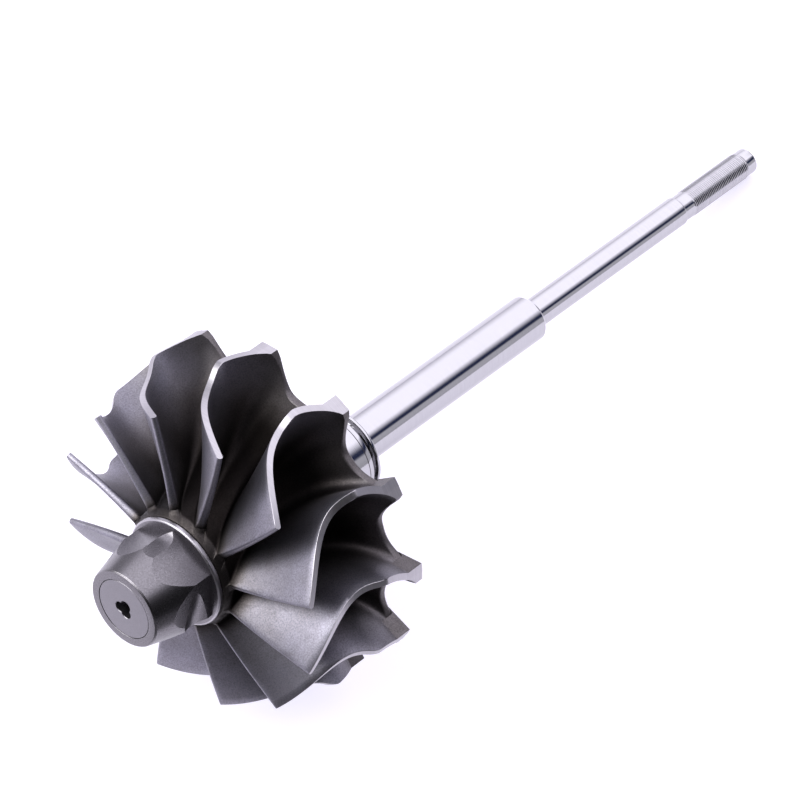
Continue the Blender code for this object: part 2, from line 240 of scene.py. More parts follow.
def build_mesh(name: str, patches: Sequence[Patch], copies: int = 1) -> bpy.types.Mesh:
    """Joins patches into one closed mesh, repeated round the axis.

    Args:
        name: name of the mesh.
        patches: the grids that together close the surface of one copy.
        copies: how many times the patches are repeated round the axis.

    Returns:
        The welded mesh with its faces pointing outwards.
    """
    points, faces, kinds, painted_light_levels = [], [], [], []
    start = 0
    for patch in patches:
        x, r, angle, reach = patch.spread()
        for copy in range(copies):
            points.append(PLACE.points(x, r, angle + FULL_TURN * copy / copies).reshape(-1, 3))
            faces.append(grid_faces(*x.shape, start, patch.closed))
            kinds.append(np.full(len(faces[-1]), patch.surface.value))
            painted_light_levels.append(reach.reshape(-1))
            start += x.size
    mesh = bpy.data.meshes.new(name)
    mesh.from_pydata(np.concatenate(points).tolist(), [], np.concatenate(faces).tolist())
    mesh.polygons.foreach_set("material_index", np.concatenate(kinds).astype(np.int32))
    # The reach attribute holds the painted light level that the cast finish turns into painted shade and
    # painted light
    layer = mesh.attributes.new("reach", "FLOAT", "POINT")
    layer.data.foreach_set("value", np.concatenate(painted_light_levels).astype(np.float32))
    close_mesh(mesh)
    return mesh


def shade(mesh: bpy.types.Mesh, angle: float) -> None:
    """Shades a mesh smooth, with sharp edges where it turns by more than an angle in degrees."""
    mesh.shade_smooth()
    mesh.set_sharp_from_angle(angle=math.radians(angle))


def place_object(name: str, data: bpy.types.ID) -> bpy.types.Object:
    """Puts a mesh, a light or a camera into the scene as an object.

    Args:
        name: name of the object.
        data: what it holds.

    Returns:
        The new object, at the origin.
    """
    thing = bpy.data.objects.new(name, data)
    bpy.context.scene.collection.objects.link(thing)
    return thing


def add_piece(
    name: str, mesh: bpy.types.Mesh, materials: Sequence[bpy.types.Material], nodes: Sequence[str]
) -> bpy.types.Object:
    """Puts a mesh in the scene as a piece that rides on the rotor and stands for CAD nodes.

    Args:
        name: name of the piece.
        mesh: its finished mesh, in place.
        materials: its materials, in the order of Surface.
        nodes: the CAD nodes that it replaces.

    Returns:
        The new object.
    """
    for material in materials:
        mesh.materials.append(material)
    piece = place_object(name, mesh)
    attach(piece, BODY)
    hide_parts(*nodes)
    LOG.info("piece %s stands for %s", name, ", ".join(nodes))
    return piece


def survey_faces(mesh: bpy.types.Mesh) -> tuple[Array, Array, Array]:
    """Finds where a mesh's faces lie on the rotor.

    Formula: middles and normals are brought back to the rotor's frame. The distance from the axis is
    the root of the sum of the squares of the two coordinates across it.

    Args:
        mesh: the mesh.

    Returns:
        Each face's place along the axis, its distance from the axis, and the part of its normal that
        points straight away from the axis.
    """
    middles, normals = np.empty(len(mesh.polygons) * 3), np.empty(len(mesh.polygons) * 3)
    mesh.polygons.foreach_get("center", middles)
    mesh.polygons.foreach_get("normal", normals)
    middles = (middles.reshape(-1, 3) - np.array(PLACE.shift)) @ PLACE.turn()
    normals = normals.reshape(-1, 3) @ PLACE.turn()
    radii = np.hypot(middles[:, 1], middles[:, 2])
    outward = (middles[:, 1] * normals[:, 1] + middles[:, 2] * normals[:, 2]) / np.maximum(radii, WELD)
    return middles[:, 0], radii, outward


# Finishes


class NodeSketch:
    """A short way to lay nodes into a material or a world."""

    def __init__(self, tree: bpy.types.NodeTree) -> None:
        """Takes the tree that the nodes go into."""
        self.tree = tree

    def add(
        self, kind: str, inputs: dict[str | int, object] | None = None, **settings: object
    ) -> bpy.types.Node:
        """Adds a node.

        Args:
            kind: type of the node.
            inputs: for a socket's name or number, the socket to link from or the value to set.
            settings: the node's own settings by name.

        Returns:
            The node.
        """
        node = self.tree.nodes.new(kind)
        for key, value in settings.items():
            setattr(node, key, value)
        for key, value in (inputs or {}).items():
            if isinstance(value, Socket):
                self.tree.links.new(value, node.inputs[key])
            else:
                node.inputs[key].default_value = value
        return node

    def stretched(self, source: Socket, scale: Triple) -> Socket:
        """Gives coordinates scaled along each axis of the rotor."""
        return self.add("ShaderNodeMapping", {"Vector": source, "Scale": scale}).outputs["Vector"]

    def noise(self, source: Socket, scale: float, detail: float = 3.0, roughness: float = 0.6) -> Socket:
        """Gives the value of a noise of a given detail and roughness, about 1/scale metres wide."""
        inputs = {"Vector": source, "Scale": scale, "Detail": detail, "Roughness": roughness}
        return self.add("ShaderNodeTexNoise", inputs).outputs["Fac"]

    def ramp(self, source: Socket, stops: Stops) -> Socket:
        """Gives the colour of a ramp.

        Args:
            source: the value that moves along the ramp.
            stops: places on the ramp with their colours.

        Returns:
            The colour's socket.
        """
        node = self.add("ShaderNodeValToRGB", {"Fac": source})
        ramp = node.color_ramp
        while len(ramp.elements) < len(stops):
            ramp.elements.new(1.0)
        for element, (place, colour) in zip(ramp.elements, stops):
            element.position = place
            element.color = (*colour, 1.0)
        return node.outputs["Color"]

    def span(self, source: Socket, old: Pair, new: Pair, way: str = "LINEAR") -> Socket:
        """Gives a value moved from one range to another, held at its ends.

        Args:
            source: the value.
            old: the range that it is read in.
            new: the range that it is moved to.
            way: kind of interpolation.

        Returns:
            The moved value's socket.
        """
        inputs = {"Value": source}
        inputs |= {"From Min": old[0], "From Max": old[1], "To Min": new[0], "To Max": new[1]}
        return self.add("ShaderNodeMapRange", inputs, interpolation_type=way).outputs["Result"]

    def mix(
        self, share: Socket | float, first: Socket | Triple, second: Socket | Triple, blend: str = "MIX"
    ) -> Socket:
        """Gives two colours mixed by a share.

        Args:
            share: how much of the second colour shows.
            first: the first colour, a socket or a plain colour.
            second: the second colour, a socket or a plain colour.
            blend: way of mixing.

        Returns:
            The mixed colour's socket.
        """
        one, two = (c if isinstance(c, Socket) else (*c, 1.0) for c in (first, second))
        inputs = {"Factor": share, MIX_FIRST: one, MIX_SECOND: two}
        return self.add("ShaderNodeMix", inputs, data_type="RGBA", blend_type=blend).outputs[MIX_RESULT]

    def bump(self, height: Socket, depth: float, strength: float, under: Socket | None = None) -> Socket:
        """Gives the normal of a bump.

        Args:
            height: the value that raises the surface.
            depth: height of the bump in metres.
            strength: how much of it shows, from 0 to 1.
            under: normal of a bump that it is laid over.

        Returns:
            The normal's socket.
        """
        inputs = {"Height": height, "Distance": depth, "Strength": strength}
        if under is not None:
            inputs["Normal"] = under
        return self.add("ShaderNodeBump", inputs).outputs["Normal"]


class MaterialSketch(NodeSketch):
    """A material with one Principled shader, and the rotor's own coordinates at hand."""

    def __init__(self, name: str) -> None:
        """Starts the material.

        Args:
            name: name of the material.
        """
        self.material = bpy.data.materials.new(name)
        self.material.use_nodes = True
        super().__init__(self.material.node_tree)
        self.shader = self.tree.nodes["Principled BSDF"]

    def rotor_coordinates(self) -> Socket:
        """Brings Object coordinates to the rotor's own frame.

        Returns:
            The coordinates' socket.
        """
        source = self.add("ShaderNodeTexCoord").outputs["Object"]
        place = {"Vector": source, "Rotation": (0.0, -PLACE.tilt, 0.0), "Location": PLACE.back_location()}
        return self.add("ShaderNodeMapping", place).outputs["Vector"]

    def metal(self, colour: Socket, roughness: Socket, normal: Socket) -> bpy.types.Material:
        """Makes the shader a metal.

        Args:
            colour: colour of the metal.
            roughness: roughness of its surface.
            normal: normal of its surface.

        Returns:
            The finished material.
        """
        self.shader.inputs["Metallic"].default_value = 1.0
        for key, source in (("Base Color", colour), ("Roughness", roughness), ("Normal", normal)):
            self.tree.links.new(source, self.shader.inputs[key])
        return self.material


@dataclass(frozen=True)
class CastFinish:
    """Blasted investment casting: dark grey, finely speckled, with painted shade deep in the passages and
    painted light towards the edges.
    """

    name: str = "cast_alloy_blasted"
    # Tones from painted shade (reach 0, deep in the passages) to painted light (reach 1, at the edges)
    painted_light_tones: Stops = (
        (0.00, (0.013, 0.011, 0.010)),
        (0.14, (0.046, 0.041, 0.039)),
        (0.30, (0.115, 0.105, 0.104)),
        (0.50, (0.182, 0.173, 0.184)),
        (0.85, (0.210, 0.204, 0.234)),
        (1.00, (0.284, 0.276, 0.312)),
    )
    specks: Stops = ((0.30, (0.72, 0.72, 0.72)), (0.52, (1.0, 1.0, 1.0)), (0.74, (1.22, 1.2, 1.2)))
    clouds: Stops = ((0.3, (0.86, 0.85, 0.84)), (0.7, (1.1, 1.1, 1.12)))
    grain: float = 3400.0
    grain_depth: float = 0.030 * MM
    grain_strength: float = 0.5
    grain_range: Pair = (0.25, 0.75)
    blotch: float = 210.0
    blotch_detail: float = 4.0
    blotch_depth: float = 0.05 * MM
    blotch_strength: float = 0.3
    roughness: Pair = (0.52, 0.40)

    def build(self) -> bpy.types.Material:
        """Makes the material.

        Returns:
            A material whose colour goes through its tones with the mesh's reach value, from painted
            shade at the roots to painted light at the blades' edges.
        """
        sketch = MaterialSketch(self.name)
        where = sketch.rotor_coordinates()
        grain = sketch.noise(where, self.grain)
        blotch = sketch.noise(where, self.blotch, self.blotch_detail)
        # reach is the painted light level: low values give painted shade, high values painted light
        reach = sketch.add("ShaderNodeAttribute", attribute_name="reach").outputs["Fac"]
        colour = sketch.mix(1.0, sketch.ramp(reach, self.painted_light_tones), sketch.ramp(grain, self.specks), "MULTIPLY")
        colour = sketch.mix(1.0, colour, sketch.ramp(blotch, self.clouds), "MULTIPLY")
        roughness = sketch.span(grain, self.grain_range, self.roughness)
        normal = sketch.bump(grain, self.grain_depth, self.grain_strength)
        normal = sketch.bump(blotch, self.blotch_depth, self.blotch_strength, normal)
        return sketch.metal(colour, roughness, normal)


@dataclass(frozen=True)
class TurnedFinish:
    """Bare metal cut or ground on a lathe: fine rings round the axis over a clean surface."""

    name: str
    colour: Triple
    shade: Triple
    roughness: Pair
    ring: float
    ring_depth: float
    ring_stretch: float = 0.02
    ring_strength: float = 0.6
    ring_noise: Pair = (2.0, 0.5)
    cloud: float = 1500.0
    noise_range: Pair = (0.3, 0.7)

    def build(self) -> bpy.types.Material:
        """Makes the material.

        Returns:
            A material with rings round the axis, because its noise is squeezed along the axis.
        """
        sketch = MaterialSketch(self.name)
        where = sketch.rotor_coordinates()
        along = sketch.stretched(where, (1.0, self.ring_stretch, self.ring_stretch))
        rings = sketch.noise(along, self.ring, *self.ring_noise)
        cloud = sketch.noise(where, self.cloud)
        colour = sketch.mix(sketch.span(rings, self.noise_range, (0.0, 1.0)), self.shade, self.colour)
        roughness = sketch.span(cloud, self.noise_range, self.roughness)
        return sketch.metal(colour, roughness, sketch.bump(rings, self.ring_depth, self.ring_strength))


@dataclass(frozen=True)
class MilledFinish:
    """The nose boss: cut from the casting, matt, with faint cutter marks and the grain of the alloy."""

    name: str = "nose_milled"
    colour: Triple = (0.216, 0.207, 0.220)
    shade: Triple = (0.160, 0.152, 0.160)
    colour_range: Pair = (0.35, 0.65)
    roughness: Pair = (0.32, 0.26)
    roughness_range: Pair = (0.3, 0.7)
    mark: float = 5200.0
    mark_depth: float = 0.0015 * MM
    mark_stretch: float = 0.06
    mark_strength: float = 0.5
    mark_noise: Pair = (2.0, 0.5)
    grain: float = 3000.0
    grain_depth: float = 0.003 * MM
    grain_strength: float = 0.4

    def build(self) -> bpy.types.Material:
        """Makes the material.

        Returns:
            A material with a speckled colour and marks that run round the axis.
        """
        sketch = MaterialSketch(self.name)
        where = sketch.rotor_coordinates()
        along = sketch.stretched(where, (1.0, self.mark_stretch, self.mark_stretch))
        marks = sketch.noise(along, self.mark, *self.mark_noise)
        grain = sketch.noise(where, self.grain)
        colour = sketch.mix(sketch.span(grain, self.colour_range, (0.0, 1.0)), self.shade, self.colour)
        roughness = sketch.span(grain, self.roughness_range, self.roughness)
        normal = sketch.bump(marks, self.mark_depth, self.mark_strength)
        normal = sketch.bump(grain, self.grain_depth, self.grain_strength, normal)
        return sketch.metal(colour, roughness, normal)


EDGE_GROUND = TurnedFinish(
    name="edge_ground",
    colour=(0.45, 0.435, 0.455),
    shade=(0.38, 0.367, 0.385),
    roughness=(0.30, 0.38),
    ring=7000.0,
    ring_depth=0.0007 * MM,
)
FACE_TURNED = TurnedFinish(
    name="nose_face_turned",
    colour=(0.245, 0.235, 0.252),
    shade=(0.210, 0.202, 0.216),
    roughness=(0.30, 0.38),
    ring=8000.0,
    ring_depth=0.003 * MM,
    ring_stretch=1.0,
)
SHAFT_POLISHED = TurnedFinish(
    name="shaft_polished",
    colour=(0.48, 0.475, 0.49),
    shade=(0.445, 0.44, 0.455),
    roughness=(0.07, 0.11),
    ring=9000.0,
    ring_depth=0.0004 * MM,
)
THREAD_ROLLED = TurnedFinish(
    name="thread_rolled",
    colour=(0.48, 0.475, 0.49),
    shade=(0.41, 0.405, 0.42),
    roughness=(0.08, 0.12),
    ring=9000.0,
    ring_depth=0.001 * MM,
)


@dataclass(frozen=True)
class Finishes:
    """All finishes of the rotor, made once."""

    cast: bpy.types.Material
    edge: bpy.types.Material
    nose: bpy.types.Material
    face: bpy.types.Material
    polished: bpy.types.Material
    thread: bpy.types.Material

    @classmethod
    def make(cls) -> "Finishes":
        """Builds every material of the rotor."""
        kinds = (CastFinish(), EDGE_GROUND, MilledFinish(), FACE_TURNED, SHAFT_POLISHED, THREAD_ROLLED)
        return cls(*(kind.build() for kind in kinds))


# The wheel


@dataclass
class WheelCasting:
    """The cast wheel: hub, twelve curved blades with their root fillets, and the scalloped back disc.

    A place on a blade is given by m, the share of the way downstream from the trailing edge (0) to
    the leading edge (1), and by the share of the span from the hub (0) to the outer edge (1). Angles
    are in degrees in the fields, and ranges are in m.
    """

    name: str = "wheel_casting"
    nodes: tuple[str, ...] = ("hub", "back_disc")
    blades: int = 12
    tip_angle: float = 3.5

    # Hub line and collar
    throat_x: float = 17.05 * MM
    throat_radius: float = 12.84 * MM
    curve_length: float = 27.1 * MM
    curve_height: float = 27.8 * MM
    collar_x: float = 15.42 * MM
    collar_radius: float = 12.15 * MM
    collar_power: float = 1.5
    collar_front: tuple[Pair, ...] = ((0.0, 0.0), (0.10, 0.06), (0.17, 0.16), (0.2, 0.32), (0.2, 15.0))

    # Back disc and its cone
    disc_back: float = 44.44 * MM
    lobe_thickness: float = 0.6 * MM
    rim_lift: float = 0.45 * MM
    rim_lift_start: float = 22.0 * MM
    rim_bevel: float = 0.95 * MM
    rim_bevel_width: float = 4.0 * MM
    rim_round: float = 0.35 * MM
    rim_round_fade: float = 0.3
    rim_round_share: float = 0.6
    disc_radius: float = 37.0 * MM
    scallop_radius: float = 29.2 * MM
    scallop_rise: float = 7.9 * MM
    scallop_half_angles: Pair = (12.2, 15.8)
    scallop_power: float = 2.8
    cone_radius: float = 17.2 * MM
    cone_end_radius: float = 10.4 * MM
    cone_end: float = 51.8 * MM

    # Blades: outer edge, turn and thickness
    edge_start: Pair = (18.10 * MM, 33.34 * MM)
    edge_end: Pair = (33.64 * MM, 37.48 * MM)
    edge_power: float = 4.6
    wrap_angle: float = 25.2
    wrap_power: float = 2.28
    wrap_turn_x: float = 34.26 * MM
    slope_step: float = 0.01 * MM
    lean_angle: float = 9.0
    lean_power: float = 1.63
    root_thickness: float = 2.2 * MM
    tip_thickness: float = 1.25 * MM
    lobe_root_thickness: float = 1.5 * MM
    lobe_tip_thickness: float = 1.45 * MM

    # Fillets, rounds and ground edges
    trailing_fillet: float = 0.5 * MM
    fillet: float = 4.0 * MM
    lobe_fillet: float = 3.2 * MM
    fillet_power: float = 2.5
    fillet_growth: Pair = (0.1, 0.7)
    fillet_fall: Pair = (0.4, 1.0)
    fillet_reach: float = 0.6 * MM
    fillet_least_power: float = 8.0
    corner_round: float = 1.1 * MM
    corner_gap: float = 0.005
    end_depth: float = 0.25 * MM
    end_lean: float = math.sqrt(0.5)
    cut_fade: float = 0.15
    floor_strip: float = 0.35 * MM
    edge_break: float = 0.09 * MM
    trailing_round: float = 0.55 * MM

    # Painted light level of the casting: painted shade deep in the passages, painted light at the rim,
    # trailing edges and collar
    rim_painted_light: float = 0.34
    rim_painted_light_range: Pair = (0.6, 0.86)
    trailing_painted_light: float = 0.5
    trailing_painted_light_range: Pair = (0.08, 0.34)
    trailing_painted_light_rise: float = 0.2
    collar_painted_light: float = 0.14
    collar_painted_light_range: Pair = (-0.12, 0.0)

    # Rows and columns of the grids
    ahead: tuple[float, ...] = (-1.0, -0.86, -0.72, -0.58, -0.45, -0.33, -0.23)
    rows: int = 56
    corner_rows: int = 8
    wall_columns: int = 13
    fillet_columns: int = 10
    floor_columns: int = 12
    strip_columns: int = 9
    round_rows: int = 6
    rim_rows: int = 3
    flat_rows: int = 7
    cone_rows: int = 9
    even_rows: float = 3.0
    trim_start: float = 0.4
    trim_steps: int = 40
    sharp_angle: float = 32.0

    @property
    def half_pitch(self) -> float:
        """Half the angle from blade to blade, in radians."""
        return math.pi / self.blades

    @property
    def root_end(self) -> float:
        """The ellipse angle at which the hub curve reaches the disc's radius."""
        return math.acos(1.0 - (self.disc_radius - self.throat_radius) / self.curve_height)

    def wrap(self, x: Array) -> Array:
        """Gives the angle by which a blade has turned at x.

        Formula: minus the wrap times (1 minus the share of the way to the turn, to a power), plus
        the lean times the share of the way from the turn to the disc's back, to another power.

        Args:
            x: places along the axis.

        Returns:
            Angles in radians.
        """
        turn = np.clip((self.wrap_turn_x - x) / (self.wrap_turn_x - self.edge_start[0]), 0.0, None)
        lean = np.clip((x - self.wrap_turn_x) / (self.disc_back - self.wrap_turn_x), 0.0, None)
        wrapped = -self.wrap_angle * (1.0 - turn ** self.wrap_power)
        return np.radians(wrapped + self.lean_angle * lean ** self.lean_power)

    def slope(self, x: Array) -> Array:
        """Gives how fast the wrap changes along the axis, in radians a metre."""
        step = self.slope_step
        return (self.wrap(x + step) - self.wrap(x - step)) / (2.0 * step)

    def thickness(self, m: Array, share: Array) -> Array:
        """Gives a blade's thickness, square to its walls.

        Formula: it falls from hub to edge with the root of the share of the span, and both ends of
        that fall change with the square of m.

        Args:
            m: shares of the way downstream.
            share: shares of the span.

        Returns:
            Thicknesses in metres.
        """
        late = np.clip(m, 0.0, 1.0) ** 2
        root = self.root_thickness + (self.lobe_root_thickness - self.root_thickness) * late
        tip = self.tip_thickness + (self.lobe_tip_thickness - self.tip_thickness) * late
        return root + (tip - root) * np.sqrt(np.clip(share, 0.0, 1.0))

    def half_blade(self, m: Array, share: Array, x: Array, r: Array) -> Array:
        """Gives half a blade as an angle: half its thickness, times the stretch of the cut, over r."""
        return self.thickness(m, share) / 2.0 * np.sqrt(1.0 + (r * self.slope(x)) ** 2) / r

    def square_cut(self, m: Array, share: Array, x: Array, r: Array, across: Array) -> Array:
        """Moves points near a trailing edge along the axis, so that it is cut square to the blade.

        Formula: the place across the blade, times half its thickness, times the sine of the angle
        between blade and axis. The move fades out behind the edge and ahead of it.

        Args:
            m: shares of the way downstream.
            share: shares of the span.
            x: places along the axis.
            r: distances from the axis.
            across: -1 on the wall at the smaller angle, 1 on the wall at the larger one.

        Returns:
            The moved places along the axis.
        """
        slant = r * self.slope(x)
        fade = np.where(m < 0.0, 1.0 + m, ease(m, self.cut_fade, 0.0))
        return x - across * fade * self.thickness(m, share) / 2.0 * slant / np.sqrt(1.0 + slant ** 2)

    def fillet_at(self, m: Array) -> Array:
        """Gives the root fillet's radius: small at both ends of a blade and large between them."""
        grown = self.trailing_fillet + (self.fillet - self.trailing_fillet) * ease(m, *self.fillet_growth)
        return grown + (self.lobe_fillet - self.fillet) * ease(m, *self.fillet_fall)

    def root_radius(self, m: Array) -> Array:
        """Gives the fillet's radius where the passage may be too narrow for two whole fillets.

        Formula: a soft least value of the fillet's radius and half the floor's width.

        Args:
            m: shares of the way downstream.

        Returns:
            Radii in metres.
        """
        room = self.half_width(m) - self.floor_strip / 2.0
        power = self.fillet_least_power
        return (self.fillet_at(m) ** -power + room ** -power) ** (-1.0 / power)

    def fillet_height(self, distance: Array) -> Array:
        """Gives a fillet's height at a distance from the wall, both as shares of its radius.

        Formula: 1 - h and 1 - d lie on a superellipse, so that the fillet starts and ends softly.
        """
        power = self.fillet_power
        return 1.0 - (1.0 - (1.0 - np.clip(distance, 0.0, 1.0)) ** power) ** (1.0 / power)

    def hub_line(self, m: Array) -> tuple[Array, Array]:
        """Gives the hub line at a share m of the way downstream.

        Formula: a quarter ellipse that turns from axial to radial, moved back a little where it
        nears the rim, and for m below 0 a straight line that runs forward to the collar.

        Args:
            m: -1 at the collar, 0 at the trailing edges, 1 at the disc's lobes.

        Returns:
            Places along the axis and radii.
        """
        angle = np.clip(m, 0.0, 1.0) * self.root_end
        before = np.clip(-m, 0.0, 1.0)
        x = self.throat_x + self.curve_length * np.sin(angle) - before * (self.throat_x - self.collar_x)
        r = self.throat_radius + self.curve_height * (1.0 - np.cos(angle))
        x = x + self.rim_lift * ease(r, self.rim_lift_start, self.scallop_radius)
        r = r - before ** self.collar_power * (self.throat_radius - self.collar_radius)
        return np.minimum(x, self.disc_back - self.lobe_thickness), r

    def reach_line(self, m: Array) -> tuple[Array, Array]:
        """Gives the step from the hub line to the blade's outer edge at a share m downstream.

        Formula: the outer edge runs evenly along the axis, and its radius grows with a power of m.

        Args:
            m: shares of the way downstream.

        Returns:
            The step along the axis and the step in radius.
        """
        along = np.clip(m, 0.0, 1.0)
        hub_x, hub_r = self.hub_line(along)
        edge_x = self.edge_start[0] + (self.edge_end[0] - self.edge_start[0]) * along
        edge_r = self.edge_start[1] + (self.edge_end[1] - self.edge_start[1]) * along ** self.edge_power
        return edge_x - hub_x, edge_r - hub_r

    def at(self, m: Array, share: Array) -> tuple[Array, Array]:
        """Gives x and r at a share of the way from the hub line to the outer edge."""
        (hub_x, hub_r), (step_x, step_r) = self.hub_line(m), self.reach_line(m)
        return hub_x + step_x * share, hub_r + step_r * share

    def length(self, m: Array) -> Array:
        """Gives the blade's height at a share m downstream."""
        return np.hypot(*self.reach_line(m))

    def middle(self, x: Array) -> Array:
        """Gives the angle of the middle of the first passage at x."""
        return math.radians(self.tip_angle) + self.half_pitch + self.wrap(x)

    def scallop(self, angle: Array) -> Array:
        """Gives the outline of the disc.

        Formula: the scallop's radius plus a power of the angle from its middle, up to the disc's.

        Args:
            angle: angles round the axis, in radians.

        Returns:
            Radii in metres.
        """
        pitch = 2.0 * self.half_pitch
        off = np.degrees((angle + pitch / 2.0) % pitch - pitch / 2.0)
        half_angle = np.where(off < 0.0, *self.scallop_half_angles)
        rise = self.scallop_rise * (np.abs(off) / half_angle) ** self.scallop_power
        return np.minimum(self.scallop_radius + rise, self.disc_radius)

    def depth(self, edge: Array) -> Array:
        """Gives how deep in a scallop a point of the outline lies: 0 on a lobe, 1 at the bottom."""
        return np.clip((self.disc_radius - edge) / (self.disc_radius - self.scallop_radius), 0.0, 1.0)

    def front_edge(self, angle: Array) -> Array:
        """Gives the radius at which the disc's front ends and its rounded edge begins."""
        edge = self.scallop(angle)
        return edge - self.rim_round * ease(self.depth(edge), 0.0, self.rim_round_fade)

    def half_width(self, m: Array) -> Array:
        """Gives half the passage's width at its floor, square to the blades.

        Formula: the open half angle times the radius, less the stretch of the slanted cut.

        Args:
            m: shares of the way downstream.

        Returns:
            Widths in metres.
        """
        x, r = self.hub_line(m)
        open_angle = self.half_pitch - self.half_blade(m, self.fillet_at(m) / self.length(m), x, r)
        return r * open_angle / np.sqrt(1.0 + (r * self.slope(x)) ** 2)

    def bed(self, m: Array, fillet: Array, floor: Array, side: Array) -> Patch:
        """Gives the passage's bed: two root fillets and the floor between them.

        Formula: the height over the hub follows the fillet's curve with the distance to the blade's
        foot, which also grows ahead of the trailing edge, and the angle from the passage's middle
        shrinks with the distance from the wall.

        Args:
            m: share downstream of each point.
            fillet: 0 at the top of the fillet, 1 at its foot.
            floor: 0 at the fillet's foot, 1 in the middle of the passage.
            side: -1 or 1, the wall that the point belongs to.

        Returns:
            The patch.
        """
        width, radius = self.half_width(m), self.root_radius(m)
        from_wall = radius * (1.0 - np.cos(QUARTER_TURN * fillet))
        across = from_wall + (width - from_wall) * floor
        before = np.clip(-m, 0.0, 1.0) * (self.throat_x - self.collar_x) * radius / self.fillet_reach
        share = radius * self.fillet_height(np.hypot(from_wall, before) / radius) / self.length(m)
        x, r = self.at(m, share)
        x = self.square_cut(m, share, x, r, -side * (1.0 - fillet))
        open_angle = self.half_pitch - self.half_blade(m, share, x, r)
        angle = self.middle(x) + side * (1.0 - across / width) * open_angle
        return Patch(x, r, angle, Surface.CAST, self.painted_light_level(m, share))

    def bed_columns(self) -> tuple[Array, Array, Array]:
        """Gives the bed's columns, from the left wall over the middle of the floor to the right wall.

        Returns:
            Fillet, floor and side values, as bed takes them.
        """
        fillet = np.linspace(0.0, 1.0, self.fillet_columns)
        floor = shares(self.floor_columns)[:, 0]
        one = np.concatenate([fillet, np.ones(len(floor))])
        two = np.concatenate([np.zeros(len(fillet)), floor])
        left = np.full(len(one), Side.LEFT.value)
        halves = ((one, 1.0), (two, 1.0), (left, -1.0))
        return tuple(np.concatenate([half, sign * half[-2::-1]]) for half, sign in halves)

    def trim(self, fillet: Array, floor: Array, side: Array) -> Array:
        """Finds how far downstream each column of the bed runs before the disc's outline.

        Formula: halving of the interval in which the hub line's radius passes the outline.

        Args:
            fillet: the columns' fillet values.
            floor: the columns' floor values.
            side: the columns' sides.

        Returns:
            The share downstream at which each column ends; 1 for the two at the walls.
        """
        low, high = np.full(fillet.shape, self.trim_start), np.ones(fillet.shape)
        for _ in range(self.trim_steps):
            m = (low + high) / 2.0
            inside = self.hub_line(m)[1] < self.front_edge(self.bed(m, fillet, floor, side).angle)
            low, high = np.where(inside, m, low), np.where(inside, high, m)
        ends = (low + high) / 2.0
        ends[[0, -1]] = 1.0
        return ends

    def painted_light_level(self, m: Array, share: Array) -> Array:
        """Gives a place's painted light level: 0 deep in a passage (painted shade), 1 at a blade's edge.

        Formula: the share of the span; of what it lacks to 1 a part is added as painted light
        towards the open rim, on the walls near the trailing edges, and on the collar ahead of them.

        Args:
            m: shares of the way downstream.
            share: shares of the span.

        Returns:
            Values from 0 to 1.
        """
        # Painted light towards the rim, near the trailing edges and on the collar; deep in a passage it
        # stays painted shade
        rim = self.rim_painted_light * ease(m, *self.rim_painted_light_range)
        trailing_light = self.trailing_painted_light * ease(m, *self.trailing_painted_light_range[::-1]) * ease(share, 0.0, self.trailing_painted_light_rise)
        collar = self.collar_painted_light * ease(m, *self.collar_painted_light_range[::-1])
        return share + (1.0 - share) * (rim + np.maximum(trailing_light, collar))

    def stations(self) -> Array:
        """Gives the rows along the blades: even ones, then closer ones round the leading corner.

        Returns:
            Shares of the way downstream, from 0 to 1.
        """
        even = np.linspace(0.0, 1.0, self.rows)
        corner = 1.0 - self.corner_round / (self.edge_end[0] - self.edge_start[0])
        turn = corner + (1.0 - corner) * np.sin(quarter(self.corner_rows)[:, 0])
        return np.concatenate([even[even < corner - self.corner_gap], turn])

    def edge_share(self, m: Array) -> Array:
        """Gives the share of the span of the outer edge, which is rounded at the leading corner.

        Formula: within a radius of the leading edge it falls along a quarter circle.

        Args:
            m: shares of the way downstream.

        Returns:
            Shares of the span.
        """
        away = (1.0 - np.clip(m, 0.0, 1.0)) * (self.edge_end[0] - self.edge_start[0])
        left = np.clip(self.corner_round - away, 0.0, None)
        drop = self.corner_round - np.sqrt(self.corner_round ** 2 - left ** 2)
        return 1.0 - drop / self.length(m)

    def top_share(self, m: Array) -> Array:
        """Gives the share of the span at which a wall ends below the broken edge."""
        return self.edge_share(m) - self.edge_break / self.length(m)

    def wall(self, m: Array, side: Side) -> Patch:
        """Gives one wall of the passage, from the top of its fillet to the outer edge.

        Formula: the angle is that of the passage's middle plus or minus the open half angle.

        Args:
            m: shares of the way downstream, one for each row.
            side: which wall.

        Returns:
            The patch.
        """
        m = m[:, None]
        low = self.root_radius(m) / self.length(m)
        share = low + (self.top_share(m) - low) * np.linspace(0.0, 1.0, self.wall_columns)[None, :]
        x, r = self.at(m, share)
        x = self.square_cut(m, share, x, r, -side.value)
        angle = self.middle(x) + side.value * (self.half_pitch - self.half_blade(m, share, x, r))
        return Patch(x, r, angle, Surface.CAST, self.painted_light_level(m, share))

    def strip_places(self) -> Array:
        """Gives the places across a blade's thickness, -1 to 1, closer together at its corners."""
        return np.sin(np.linspace(-QUARTER_TURN, QUARTER_TURN, self.strip_columns))[None, :]

